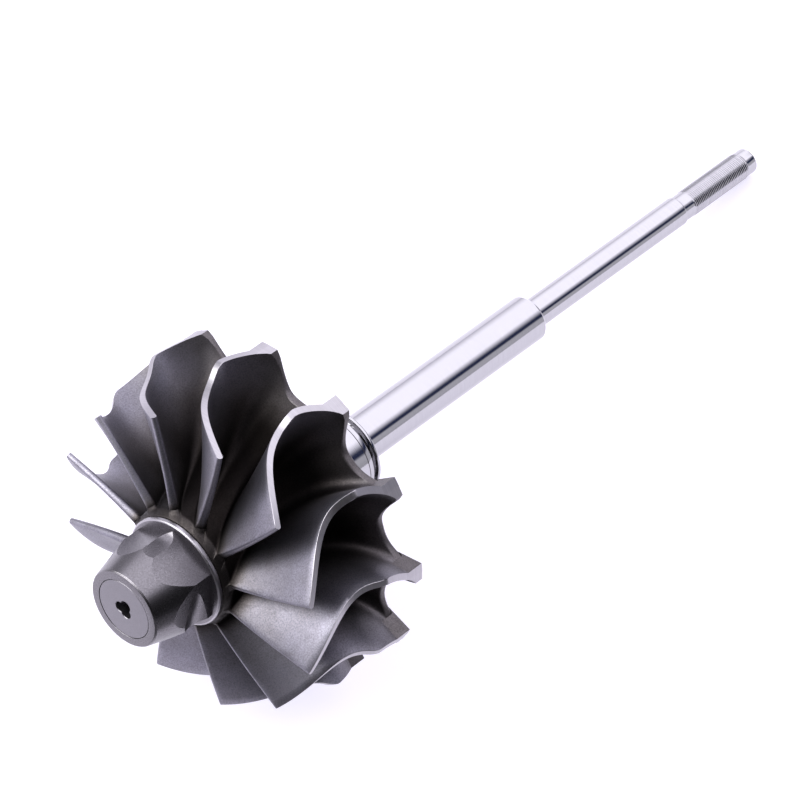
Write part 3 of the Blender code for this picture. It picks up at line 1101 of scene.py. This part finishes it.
    def strip_point(self, m: Array, share: Array, surface: Surface) -> Patch:
        """Gives points across the blade after the first passage.

        Formula: the angle is the blade's middle plus the place across times half its thickness. At
        the trailing edge the points stand forward by a half ellipse, and what the reach lacks to 1
        is squared, a painted highlight along that edge.

        Args:
            m: shares of the way downstream.
            share: shares of the span.
            surface: the finish of the strip.

        Returns:
            The patch.
        """
        m, share, across = np.broadcast_arrays(m, share, self.strip_places())
        x, r = self.at(m, share)
        x = self.square_cut(m, share, x, r, across)
        stood = self.trailing_round * np.sqrt(1.0 - across ** 2) * (m == 0.0)
        x = x - stood / np.sqrt(1.0 + (r * self.slope(x)) ** 2)
        angle = self.middle(x) + self.half_pitch + across * self.half_blade(m, share, x, r)
        reach = self.painted_light_level(m, share)
        # At the trailing edge the painted light level is raised: a painted highlight along that edge
        return Patch(x, r, angle, surface, np.where(m == 0.0, 1.0 - (1.0 - reach) ** 2, reach))

    def strip_tops(self, m: Array) -> Array:
        """Gives the share of the span that each place across a strip reaches at m."""
        inner = np.abs(self.strip_places()) < 1.0 - WELD
        return np.where(inner, self.edge_share(m), self.top_share(m))

    def outer_strip(self, m: Array) -> Patch:
        """Gives the ground outer edge of a blade."""
        return self.strip_point(m[:, None], self.strip_tops(m[:, None]), Surface.GROUND)

    def end_strip(self, m: float, surface: Surface) -> Patch:
        """Gives one end of a blade, from its root fillet to its outer edge.

        Args:
            m: 0 for the trailing edge, 1 for the leading edge.
            surface: the finish of the strip.

        Returns:
            The patch.
        """
        place = np.array([[m]])
        low = self.root_radius(place) / self.length(place)
        share = low + (self.strip_tops(place) - low) * np.linspace(0.0, 1.0, self.wall_columns)[:, None]
        return self.strip_point(place, share, surface)

    def ridge(self, ahead: Array) -> Patch:
        """Gives the crest of the fillet ahead of a trailing edge.

        Formula: the same curve as the bed's, of the distance ahead of the rounded edge.

        Args:
            ahead: places ahead of the trailing edge, below 0.

        Returns:
            The patch.
        """
        m = np.append(ahead, 0.0)[:, None]
        stood = np.where(m < 0.0, self.trailing_round * np.sqrt(1.0 - self.strip_places() ** 2), 0.0)
        distance = (-m * (self.throat_x - self.collar_x) - stood) / self.fillet_reach
        height = self.root_radius(np.zeros(1)) * self.fillet_height(distance)
        return self.strip_point(m, height / self.length(m), Surface.CAST)

    def rim(self, front: Patch, surface: Surface) -> list[Patch]:
        """Gives the disc's rim and its back, behind one row of points on its front.

        Formula: a quarter circle rounds the front edge, and the rim runs back from it. In the
        scallops the back edge is broken by a quarter ellipse, deeper the deeper the scallop is. The
        flat back then runs inwards to the cone, whose radius falls with a square. On the way the
        columns spread out evenly.

        Args:
            front: a patch whose last row is the front edge of the rim.
            surface: the finish of the rim.

        Returns:
            The rim and the back.
        """
        x, r, angle, _ = (a[-1:] for a in front.spread())
        outline = np.maximum(np.minimum(self.scallop(angle), self.disc_radius), r)
        depth = self.depth(outline)
        bevel = self.rim_bevel * depth
        bevel_x = self.disc_back - bevel
        turn = quarter(self.round_rows)
        front_x = x + self.rim_round_share * (bevel_x - x) * (1.0 - np.cos(turn))
        front_r = r + (outline - r) * np.sin(turn)
        rim_x = np.concatenate([front_x, front_x[-1:] + (bevel_x - front_x[-1:]) * shares(self.rim_rows)])
        rim_r = np.concatenate([front_r, np.repeat(outline, self.rim_rows, axis=0)])
        edge_x = bevel_x + bevel * np.sin(turn)
        edge_r = outline - self.rim_bevel_width * depth * (1.0 - np.cos(turn))
        flat_r = edge_r[-1:] + (self.cone_radius - edge_r[-1:]) * shares(self.flat_rows)
        flat_x = np.full(flat_r.shape, self.disc_back)
        level = np.zeros(angle.shape)
        fall = shares(self.cone_rows)
        cone_x = self.disc_back + (self.cone_end - self.disc_back) * fall + level
        cone_r = self.cone_end_radius + (self.cone_radius - self.cone_end_radius) * (1.0 - fall) ** 2 + level
        back_x = np.concatenate([edge_x, flat_x, cone_x, level + self.cone_end])
        back_r = np.concatenate([edge_r, flat_r, cone_r, level])
        even = np.linspace(angle[:, 0], angle[:, -1], angle.shape[1], axis=1)
        row = np.arange(len(back_x))[:, None]
        spread = np.clip((row - (self.round_rows - 1)) / self.even_rows, 0.0, 1.0)
        # The rim and the back take a fixed painted light level, lighter than the painted shade of the
        # passages
        return [
            Patch(rim_x, rim_r, angle, surface, self.rim_painted_light),
            Patch(back_x, back_r, angle + (even - angle) * spread, Surface.CAST, self.rim_painted_light),
        ]

    def collar(self, first: Patch) -> Patch:
        """Gives the front of the collar: it rounds over and runs to the axis behind the nose boss.

        Args:
            first: a patch whose first row is the collar's edge.

        Returns:
            The patch.
        """
        x, r, angle, _ = (a[:1] for a in first.spread())
        steps = np.array(self.collar_front) * MM
        r = np.maximum(r - steps[:, 1:], 0.0)
        # The collar takes a fixed painted light level
        return Patch(x - steps[:, :1], r, angle, Surface.CAST, self.collar_painted_light)

    def patches(self) -> list[Patch]:
        """Gives all patches of one passage with the blade after it.

        Returns:
            The patches; turned round the axis they close the casting.
        """
        ahead, along = np.array(self.ahead), self.stations()
        columns = self.bed_columns()
        ends = self.trim(*columns)
        m = np.concatenate([np.repeat(ahead[:, None], len(ends), axis=1), along[:, None] * ends[None, :]])
        bed = self.bed(m, *(column[None, :] for column in columns))
        leading = self.end_strip(1.0, Surface.GROUND)
        lobe = Patch(leading.x[:1], leading.r[:1], leading.angle[:1], Surface.GROUND)
        ridge = self.ridge(ahead)
        walls = [self.wall(along, side) for side in Side]
        strips = [self.outer_strip(along), self.end_strip(0.0, Surface.CAST), leading, ridge]
        fronts = [self.collar(bed), self.collar(ridge)]
        return [bed, *walls, *strips, *fronts, *self.rim(bed, Surface.CAST), *self.rim(lobe, Surface.GROUND)]

    def build(self, finishes: Finishes) -> bpy.types.Object:
        """Builds the casting and dresses it; the lobes' ends are ground like the blades' edges.

        Args:
            finishes: the rotor's materials.

        Returns:
            The piece.
        """
        mesh = build_mesh(self.name, self.patches(), self.blades)
        x, radii, outward = survey_faces(mesh)
        on_rim = (radii > self.disc_radius - self.end_depth) & (x > self.edge_end[0])
        kinds = np.empty(len(mesh.polygons), np.int32)
        mesh.polygons.foreach_get("material_index", kinds)
        kinds[on_rim & (outward > self.end_lean)] = Surface.GROUND.value
        mesh.polygons.foreach_set("material_index", kinds)
        shade(mesh, self.sharp_angle)
        nodes = [*self.nodes, *(f"blade_{n:02d}" for n in range(1, self.blades + 1))]
        return add_piece(self.name, mesh, [finishes.cast, finishes.edge], nodes)


# The nose


@dataclass(frozen=True)
class Pocket:
    """A balancing cut in the nose boss, whose bed faces one direction and curves along the axis."""

    ends: Pair
    angles: Pair
    bed_angle: float
    bed_distance: float
    turn_x: float
    run: float
    rise: float
    power: float
    one_sided: bool
    outer: float = 14.0 * MM
    points: int = 49

    def bed(self, x: Array, angle: Array) -> Array:
        """Gives the radius of the bed.

        Formula: its distance from the axis grows with a power of the way from the turn, on one side
        of it or on both; the radius is that distance over the cosine from the bed's direction.

        Args:
            x: places along the axis.
            angle: angles round the axis, in radians.

        Returns:
            Radii in metres.
        """
        way = (x - self.turn_x) / self.run
        if self.one_sided:
            way = np.maximum(way, 0.0)
        distance = self.bed_distance + self.rise * way ** self.power
        return distance / np.cos(angle - math.radians(self.bed_angle))

    def cutter(self, name: str) -> bpy.types.Object:
        """Builds the closed cutter: the bed's grid, the same grid at the outer radius, and four sides.

        Args:
            name: name of the cutter.

        Returns:
            The cutter's object.
        """
        x = np.linspace(*self.ends, self.points)[:, None]
        angle = np.radians(np.linspace(*self.angles, self.points))[None, :]
        x, angle = np.broadcast_arrays(x, angle)
        low, high = self.bed(x, angle), np.full(x.shape, self.outer)
        patches = [Patch(x, low, angle), Patch(x, high, angle)]
        for cut, axis in ((np.s_[:1], 0), (np.s_[-1:], 0), (np.s_[:, :1], 1), (np.s_[:, -1:], 1)):
            both = np.concatenate([low[cut], high[cut]], axis)
            patches.append(Patch(np.repeat(x[cut], 2, axis), both, np.repeat(angle[cut], 2, axis)))
        return place_object(name, build_mesh(name, patches))


@dataclass
class NoseBoss:
    """The boss at the open end: rim, cone, six milled flats, two balancing cuts and the lip."""

    name: str = "nose_boss_milled"
    rim_radius: float = 8.46 * MM
    rim_round: float = 0.28 * MM
    rim_round_end: float = 104.0
    rim_rows: int = 6
    well_radius: float = 6.58 * MM
    well_depth: float = 5.2 * MM
    well_break: float = 0.05 * MM
    apothem: float = 9.525 * MM
    flat_angle: float = 19.0
    sides: int = 6
    cone_start: float = 0.336 * MM
    neck_end: float = 9.9 * MM
    wall_x: float = 14.1 * MM
    lip_radius: float = 11.9 * MM
    lip_round: float = 0.4 * MM
    lip_end: float = 15.3 * MM
    lip_rows: int = 7
    cone_rows: int = 26
    flat_rows: int = 21
    columns: int = 240
    sharp_angle: float = 14.0
    corner_cut: Pocket = Pocket(
        ends=(5.9 * MM, 13.9 * MM),
        angles=(150.0, 186.0),
        bed_angle=171.0,
        bed_distance=10.05 * MM,
        turn_x=10.0 * MM,
        run=3.64 * MM,
        rise=0.9 * MM,
        power=3.0,
        one_sided=True,
    )
    trough_cut: Pocket = Pocket(
        ends=(6.1 * MM, 13.9 * MM),
        angles=(232.0, 300.0),
        bed_angle=268.0,
        bed_distance=8.88 * MM,
        turn_x=10.0 * MM,
        run=8.0 * MM,
        rise=8.0 * MM,
        power=2.0,
        one_sided=False,
    )

    def hexagon(self, angle: Array) -> Array:
        """Gives the radius of the milled hexagon: its apothem over the cosine from a flat's middle."""
        half = math.pi / self.sides
        return self.apothem / np.cos((angle - math.radians(self.flat_angle) + half) % (2.0 * half) - half)

    def outside(self) -> Patch:
        """Gives the boss's whole outside.

        Formula: down the cone to where it meets the hexagon, then along the flats, out over the
        wall to the lip and back to the axis; rows follow the border between cone and flats.

        Returns:
            The closed patch.
        """
        corner = self.apothem / math.cos(math.pi / self.sides)
        slope = (corner - self.rim_radius) / self.neck_end
        angle = np.radians(self.flat_angle + np.arange(self.columns) * 360.0 / self.columns)[None, :]
        hexagon = self.hexagon(angle)
        border = (hexagon - self.rim_radius) / slope
        soft, edge, lip = self.rim_round, self.well_break, self.lip_round
        rim = [(self.well_depth, 0.0), (self.well_depth, self.well_radius), (edge, self.well_radius)]
        rim += [(0.0, self.well_radius + edge)]
        rim += arc((soft, self.rim_radius - soft), soft, 180.0, self.rim_round_end, self.rim_rows)
        land = arc((self.wall_x + lip, self.lip_radius - lip), lip, 180.0, 90.0, self.lip_rows)
        land += arc((self.lip_end - lip, self.lip_radius - lip), lip, 90.0, 0.0, self.lip_rows)
        land += [(self.lip_end, 0.0)]
        way = np.linspace(0.0, 1.0, self.cone_rows)[:, None]
        cone_x = self.cone_start + (border - self.cone_start) * way
        flat_x = border + (self.wall_x - border) * shares(self.flat_rows)
        ones = np.ones_like(angle)
        rim_xr, land_xr = np.array(rim), np.array(land)
        x = np.concatenate([rim_xr[:, :1] * ones, cone_x, flat_x, land_xr[:, :1] * ones])
        cone_r, flat_r = self.rim_radius + slope * cone_x, np.broadcast_to(hexagon, flat_x.shape)
        r = np.concatenate([rim_xr[:, 1:] * ones, cone_r, flat_r, land_xr[:, 1:] * ones])
        return Patch(x, r, angle, closed=True)

    def milled(self) -> bpy.types.Mesh:
        """Gives the boss with its two balancing cuts taken out.

        Returns:
            The cut mesh.
        """
        blank = place_object("nose_blank", build_mesh("nose_blank", [self.outside()]))
        pockets = (self.corner_cut, self.trough_cut)
        cutters = [pocket.cutter(f"nose_cutter_{n}") for n, pocket in enumerate(pockets)]
        for cutter in cutters:
            cut = blank.modifiers.new(cutter.name, "BOOLEAN")
            cut.operation = "DIFFERENCE"
            cut.solver = "EXACT"
            cut.object = cutter
        bpy.context.view_layer.update()
        graph = bpy.context.evaluated_depsgraph_get()
        mesh = bpy.data.meshes.new_from_object(blank.evaluated_get(graph))
        mesh.name = self.name
        for spare in [blank, *cutters]:
            bpy.data.objects.remove(spare)
        return mesh

    def build(self, finishes: Finishes) -> bpy.types.Object:
        """Builds the boss and dresses it; the lip is ground like the blades' edges.

        Args:
            finishes: the rotor's materials.

        Returns:
            The piece.
        """
        mesh = self.milled()
        lip = survey_faces(mesh)[1] > self.lip_radius - self.lip_round
        mesh.polygons.foreach_set("material_index", lip.astype(np.int32))
        shade(mesh, self.sharp_angle)
        return add_piece(self.name, mesh, [finishes.nose, finishes.edge], ["nose_boss"])


@dataclass
class NoseFace:
    """The round end face in the boss, with its three-lobed centre hole."""

    name: str = "nose_face_turned"
    radius: float = 6.44 * MM
    level: float = 0.05 * MM
    edge_step: Pair = (0.06 * MM, 0.05 * MM)
    skirt_end: float = 0.95 * MM
    back: Pair = (4.9 * MM, 3.0 * MM)
    hole_depth: float = 4.5 * MM
    hole_foot: tuple[Pair, ...] = ((1.0, 0.0), (0.97, 0.6), (0.85, 0.95))
    lobe_offset: float = 0.95 * MM
    lobe_radius: float = 1.2 * MM
    lobe_angles: tuple[float, ...] = (75.0, 195.0, 315.0)
    mouth: Pair = (0.12 * MM, 0.1 * MM)
    rows: int = 11
    columns: int = 144
    sharp_angle: float = 25.0

    def hole(self, angle: Array) -> Array:
        """Gives the edge of the centre hole.

        Formula: the farthest of three circles whose centres stand round the axis.

        Args:
            angle: angles round the axis, in radians.

        Returns:
            Radii in metres.
        """
        edge = np.zeros(angle.shape)
        for lobe_angle in np.radians(self.lobe_angles):
            off = angle - lobe_angle
            inside = np.clip(self.lobe_radius ** 2 - (self.lobe_offset * np.sin(off)) ** 2, 0.0, None)
            far = self.lobe_offset * np.cos(off) + np.sqrt(inside)
            edge = np.maximum(edge, np.where(inside > 0.0, far, 0.0))
        return edge

    def outside(self) -> Patch:
        """Gives the whole piece: from the hole's floor up its wall, out over the face and round behind.

        Returns:
            The closed patch.
        """
        angle = round_angles(self.columns)
        hole = self.hole(angle)
        mouth, rim = hole + self.mouth[1], self.radius + self.edge_step[1]
        rows = [(self.hole_depth * x, hole * r) for x, r in self.hole_foot]
        rows += [(self.level + self.mouth[0], hole), (self.level, mouth)]
        rows += [(self.level, mouth + (self.radius - mouth) * share) for share in shares(self.rows)]
        rows += [(self.level + self.edge_step[0], rim), (self.skirt_end, rim)]
        rows += [self.back, (self.back[0], 0.0)]
        x = np.concatenate([np.full(angle.shape, row[0]) for row in rows])
        r = np.concatenate([np.broadcast_to(row[1], angle.shape) for row in rows])
        return Patch(x, r, angle, closed=True)

    def build(self, finishes: Finishes) -> bpy.types.Object:
        """Builds the end face and dresses it.

        Args:
            finishes: the rotor's materials.

        Returns:
            The piece.
        """
        mesh = build_mesh(self.name, [self.outside()])
        shade(mesh, self.sharp_angle)
        return add_piece(self.name, mesh, [finishes.face], ["nose_face"])


# The shaft


@dataclass
class Shaft:
    """The turned shaft: seal boss, bearing journal, stub, relief, rolled thread and tip."""

    boss_start: float = 51.6 * MM
    boss_radius: float = 9.4 * MM
    boss_round: float = 0.3 * MM
    boss_end: float = 63.7 * MM
    line_x: float = 60.6 * MM
    line_depth: float = 0.09 * MM
    groove: Pair = (61.7 * MM, 62.9 * MM)
    groove_radius: float = 8.0 * MM
    groove_round: float = 0.12 * MM
    journal_radius: float = 5.075 * MM
    journal_end: float = 119.9 * MM
    journal_chamfer: Pair = (0.45 * MM, 0.3 * MM)
    stub_radius: float = 3.255 * MM
    stub_end: float = 168.5 * MM
    stub_round: float = 0.18 * MM
    stub_round_start: float = 80.0
    stub_plain: float = 0.27 * MM
    relief_radius: float = 2.95 * MM
    relief_end: float = 171.6 * MM
    thread_radius: float = 3.05 * MM
    thread_depth: float = 0.10 * MM
    thread_pitch: float = 0.5 * MM
    thread_end: float = 190.0 * MM
    tip_radius: float = 2.9 * MM
    tip_round: float = 0.4 * MM
    tip_end: float = 192.85 * MM
    overlap: float = 0.6 * MM
    segments: int = 192
    round_rows: int = 8
    groove_round_rows: int = 5
    stub_round_rows: int = 4
    plain_rows: int = 24
    thread_rows: int = 8
    thread_segments: int = 72
    sharp_angle: float = 28.0
    thread_sharp_angle: float = 50.0

    def boss_profile(self) -> list[Pair]:
        """Gives the seal boss: broken front edge, a fine line, the ring groove and the rear land.

        Returns:
            The profile, from the axis to the axis.
        """
        radius, soft, edge = self.boss_radius, self.boss_round, self.groove_round
        line, fine = self.line_x, self.line_depth
        front, rear = self.groove
        profile = [(self.boss_start, 0.0), (self.boss_start, radius)]
        profile += [(line - fine, radius), (line, radius - fine), (line + fine, radius)]
        profile += arc((front - edge, radius - edge), edge, 90.0, 0.0, self.groove_round_rows)
        profile += [(front, self.groove_radius), (rear, self.groove_radius)]
        profile += arc((rear + edge, radius - edge), edge, 180.0, 90.0, self.groove_round_rows)
        profile += arc((self.boss_end - soft, radius - soft), soft, 90.0, 0.0, self.round_rows)
        return [*profile, (self.boss_end, 0.0)]

    def length_profile(self, start: float, radius: float, plain: float, end: Sequence[Pair]) -> list[Pair]:
        """Gives a plain length of the shaft that starts a little inside the piece before it.

        Args:
            start: where it comes out of the piece before it.
            radius: its radius.
            plain: where its plain part ends.
            end: the profile of its end; its last point gives the x at which it meets the axis.

        Returns:
            The profile, from the axis to the axis.
        """
        inside = start - self.overlap
        body = [(x, radius) for x in np.linspace(start, plain, self.plain_rows)]
        return [(inside, 0.0), (inside, radius), *body, *end, (end[-1][0], 0.0)]

    def profiles(self) -> dict[str, tuple[str, list[Pair]]]:
        """Gives the turned pieces of the shaft.

        Returns:
            For each piece's name, the CAD node that it stands for and its profile.
        """
        long, deep = self.journal_chamfer
        plain, chamfer = self.journal_end - long, [(self.journal_end, self.journal_radius - deep)]
        journal = self.length_profile(self.boss_end, self.journal_radius, plain, chamfer)
        plain, soft = self.stub_end - self.stub_plain, self.stub_round
        centre = (self.stub_end - soft, self.stub_radius - soft)
        round_end = arc(centre, soft, self.stub_round_start, 0.0, self.stub_round_rows)
        stub = self.length_profile(self.journal_end, self.stub_radius, plain, round_end)
        start, end = self.stub_end - self.overlap, self.relief_end + self.overlap
        relief = [(start, 0.0), (start, self.relief_radius), (end, self.relief_radius), (end, 0.0)]
        start, soft = self.thread_end - self.overlap, self.tip_round
        round_end = arc((self.tip_end - soft, self.tip_radius - soft), soft, 90.0, 0.0, self.round_rows)
        tip = [(start, 0.0), (start, self.tip_radius), *round_end, (self.tip_end, 0.0)]
        return {
            "seal_boss_ground": ("seal_boss", self.boss_profile()),
            "journal_ground": ("journal", journal),
            "stub_ground": ("stub_shaft", stub),
            "relief_turned": ("thread_relief", relief),
            "shaft_tip_turned": ("shaft_tip", tip),
        }

    def thread(self) -> Patch:
        """Gives the rolled thread.

        Formula: the radius falls by the thread's depth with a cosine of the helix's phase, which is
        x over the pitch minus the turn; it fades over a pitch at both ends.

        Returns:
            The closed patch.
        """
        start, end = self.relief_end, self.thread_end
        count = int(round((end - start) / self.thread_pitch * self.thread_rows)) + 1
        x = np.linspace(start, end, count)[:, None]
        angle = round_angles(self.thread_segments)
        phase = (x / self.thread_pitch - angle / FULL_TURN) % 1.0
        flank = 0.5 + 0.5 * np.cos(FULL_TURN * phase)
        room = np.clip(np.minimum(x - start, end - x) / self.thread_pitch, 0.0, 1.0)
        r = self.thread_radius - self.thread_depth * (1.0 - flank * room)
        cap = np.zeros_like(angle)
        return Patch(np.concatenate([x[:1], x, x[-1:]]), np.concatenate([cap, r, cap]), angle, closed=True)

    def build(self, finishes: Finishes) -> list[bpy.types.Object]:
        """Builds every piece of the shaft and dresses it.

        Args:
            finishes: the rotor's materials.

        Returns:
            The pieces, from the wheel to the tip, and the thread last.
        """
        pieces = []
        for name, (node, profile) in self.profiles().items():
            mesh = build_mesh(name, [spun(profile, self.segments)])
            shade(mesh, self.sharp_angle)
            pieces.append(add_piece(name, mesh, [finishes.polished], [node]))
        mesh = build_mesh("thread_rolled", [self.thread()])
        shade(mesh, self.thread_sharp_angle)
        pieces.append(add_piece("thread_rolled", mesh, [finishes.thread], ["threaded_end"]))
        return pieces


# The studio


@dataclass(frozen=True)
class Zone:
    """A round part of the surroundings with its own brightness.

    Azimuths are counted from +X towards +Y, elevations from the horizon, both in degrees.
    """

    azimuth: float
    elevation: float
    reach: float
    fade: float
    tone: Triple
    top: float = 90.0
    top_fade: float = 2.5

    def direction(self) -> Triple:
        """Finds the direction to the zone's middle.

        Returns:
            A direction of length 1.
        """
        azimuth, elevation = math.radians(self.azimuth), math.radians(self.elevation)
        level = math.cos(elevation)
        return level * math.cos(azimuth), level * math.sin(azimuth), math.sin(elevation)

    def share(self, sketch: NodeSketch, where: Socket) -> Socket:
        """Gives how much of the zone is seen in a direction.

        Formula: 1 within the reach and 0 beyond reach plus fade, smoothly by the cosine of the
        angle from the middle, times the same kind of step in height where the zone has a top.

        Args:
            sketch: the sketch that the nodes go into.
            where: the direction's socket.

        Returns:
            The share's socket.
        """
        turn = sketch.add("ShaderNodeVectorMath", {0: where, 1: self.direction()}, operation="DOT_PRODUCT")
        limits = tuple(math.cos(math.radians(a)) for a in (self.reach + self.fade, self.reach))
        share = sketch.span(turn.outputs["Value"], limits, (0.0, 1.0), "SMOOTHSTEP")
        if self.top >= 90.0:
            return share
        height = sketch.add("ShaderNodeSeparateXYZ", {0: where}).outputs["Z"]
        limits = tuple(math.sin(math.radians(self.top + fade)) for fade in (-self.top_fade, self.top_fade))
        below = sketch.span(height, limits, (1.0, 0.0), "SMOOTHSTEP")
        return sketch.add("ShaderNodeMath", {0: share, 1: below}, operation="MULTIPLY").outputs[0]


@dataclass
class Studio:
    """A plain pale floor, soft lights, and the camera at the photograph's angle."""

    camera_place: Triple = (-0.39057392248343364, -0.33329156548526484, 0.8121310100516717)
    camera_right: Triple = (0.6824668207053591, -0.7307441577257946, 0.01587496727361512)
    camera_up: Triple = (0.608831404767527, 0.5803577958543702, 0.5408411498396336)
    camera_back: Triple = (-0.40442967151918885, -0.3594409614118519, 0.8409749318821607)
    lens: float = 207.9275868
    sensor: float = 36.0
    clip: Pair = (0.01, 50.0)
    dome: Triple = (1.0, 0.97, 1.13)
    back_light: Zone = Zone(5.0, 45.0, 30.0, 36.0, (2.0, 1.95, 2.18))
    low_back: Zone = Zone(3.0, 2.0, 20.0, 12.0, (0.45, 0.44, 0.50))
    gap: Zone = Zone(92.0, 10.0, 18.0, 18.0, (0.52, 0.51, 0.58))
    left_side: Zone = Zone(-165.0, 18.0, 20.0, 24.0, (0.34, 0.33, 0.39))
    photographer: Zone = Zone(-120.0, 5.0, 59.0, 8.0, (0.02, 0.02, 0.022))
    table: Zone = Zone(-128.0, -50.0, 50.0, 10.0, (0.22, 0.213, 0.245), top=-1.0, top_fade=2.0)
    wall_top: Zone = Zone(-45.0, 0.0, 36.0, 8.0, (0.03, 0.04, 0.10), top=31.5, top_fade=10.0)
    wall: Zone = Zone(-45.0, 0.0, 36.0, 8.0, (0.70, 0.69, 0.77), top=14.5, top_fade=3.0)
    seen_behind: Triple = (1.0, 1.0, 1.0)
    key: Zone = Zone(138.0, 42.0, 0.0, 0.0, (1.0, 1.0, 1.0))
    key_distance: float = 1.3
    key_side: float = 1.15
    key_power: float = 19.0
    sheet_side: float = 0.34
    sheet_near: float = 0.104
    sheet_colour: Triple = (0.46, 0.45, 0.47)
    sheet_roughness: float = 0.9
    sheet_gloss: float = 0.1
    sheet_light: Triple = (1.0, 0.968, 1.14)
    sheet_glow: float = 0.70

    def camera(self) -> None:
        """Adds the camera."""
        lens = bpy.data.cameras.new("studio_camera")
        lens.lens, lens.sensor_width, lens.sensor_fit = self.lens, self.sensor, "HORIZONTAL"
        lens.clip_start, lens.clip_end = self.clip
        camera = place_object("studio_camera", lens)
        axes = Matrix((self.camera_right, self.camera_up, self.camera_back)).transposed()
        camera.matrix_world = Matrix.Translation(self.camera_place) @ axes.to_4x4()
        bpy.context.scene.camera = camera

    def softbox(self) -> None:
        """Adds the key light, a soft square one on the picture's left."""
        light = bpy.data.lights.new("key_softbox", "AREA")
        light.shape, light.size, light.energy = "SQUARE", self.key_side, self.key_power
        direction = Vector(self.key.direction())
        lamp = place_object("key_softbox", light)
        lamp.location = direction * self.key_distance
        lamp.rotation_euler = direction.to_track_quat("Z", "Y").to_euler()

    def sheet(self) -> None:
        """Adds the plain white sheet that the rotor lies on, lit from below as well."""
        mesh = bpy.data.meshes.new("studio_floor")
        towards = Vector(self.camera_back[:2]).normalized()
        across = Vector((-towards.y, towards.x))
        side, near = self.sheet_side, self.sheet_near
        places = ((-side, -side), (side, -side), (side, near), (-side, near))
        corners = [a * across + b * towards for a, b in places]
        mesh.from_pydata([(*corner, 0.0) for corner in corners], [], [(0, 1, 2, 3)])
        sketch = MaterialSketch("floor_white")
        values = {
            "Base Color": (*self.sheet_colour, 1.0),
            "Roughness": self.sheet_roughness,
            "Specular IOR Level": self.sheet_gloss,
            "Emission Color": (*self.sheet_light, 1.0),
            "Emission Strength": self.sheet_glow,
        }
        for key, value in values.items():
            sketch.shader.inputs[key].default_value = value
        mesh.materials.append(sketch.material)
        place_object("studio_floor", mesh)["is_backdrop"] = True

    def surroundings(self) -> None:
        """Lights the rotor from all round: a white dome, the dark side in front of it and a low wall.

        The camera itself sees plain white behind the sheet.
        """
        world = bpy.data.worlds.new("studio_world")
        world.use_nodes = True
        sketch = NodeSketch(world.node_tree)
        where = sketch.add("ShaderNodeTexCoord").outputs["Generated"]
        tone: Socket | Triple = self.dome
        zones = (self.back_light, self.low_back, self.gap, self.left_side, self.wall_top, self.wall,
                 self.photographer, self.table)
        for zone in zones:
            tone = sketch.mix(zone.share(sketch, where), tone, zone.tone)
        seen = sketch.add("ShaderNodeLightPath").outputs["Is Camera Ray"]
        tone = sketch.mix(seen, tone, self.seen_behind)
        world.node_tree.links.new(tone, world.node_tree.nodes["Background"].inputs["Color"])
        bpy.context.scene.world = world

    def build(self) -> None:
        """Sets up the whole studio."""
        for step in (self.camera, self.sheet, self.surroundings, self.softbox):
            step()
        bpy.context.scene.view_settings.view_transform = "Standard"


def write_sizes() -> None:
    """Gathers the CAD box and the box of what is shown into one table; it is not written or kept."""
    boxes = {"cad": CAD_BOX, "visual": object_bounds()}
    boxes = {key: [list(map(float, corner)) for corner in box] for key, box in boxes.items()}


def main() -> None:
    """Builds the rotor part by part, then the studio."""
    logging.basicConfig(level=logging.INFO, format="%(name)s: %(message)s")
    finishes = Finishes.make()
    for part in (WheelCasting(), NoseBoss(), NoseFace(), Shaft()):
        part.build(finishes)
    Studio().build()
    write_sizes()


if __name__ == "__main__":
    main()
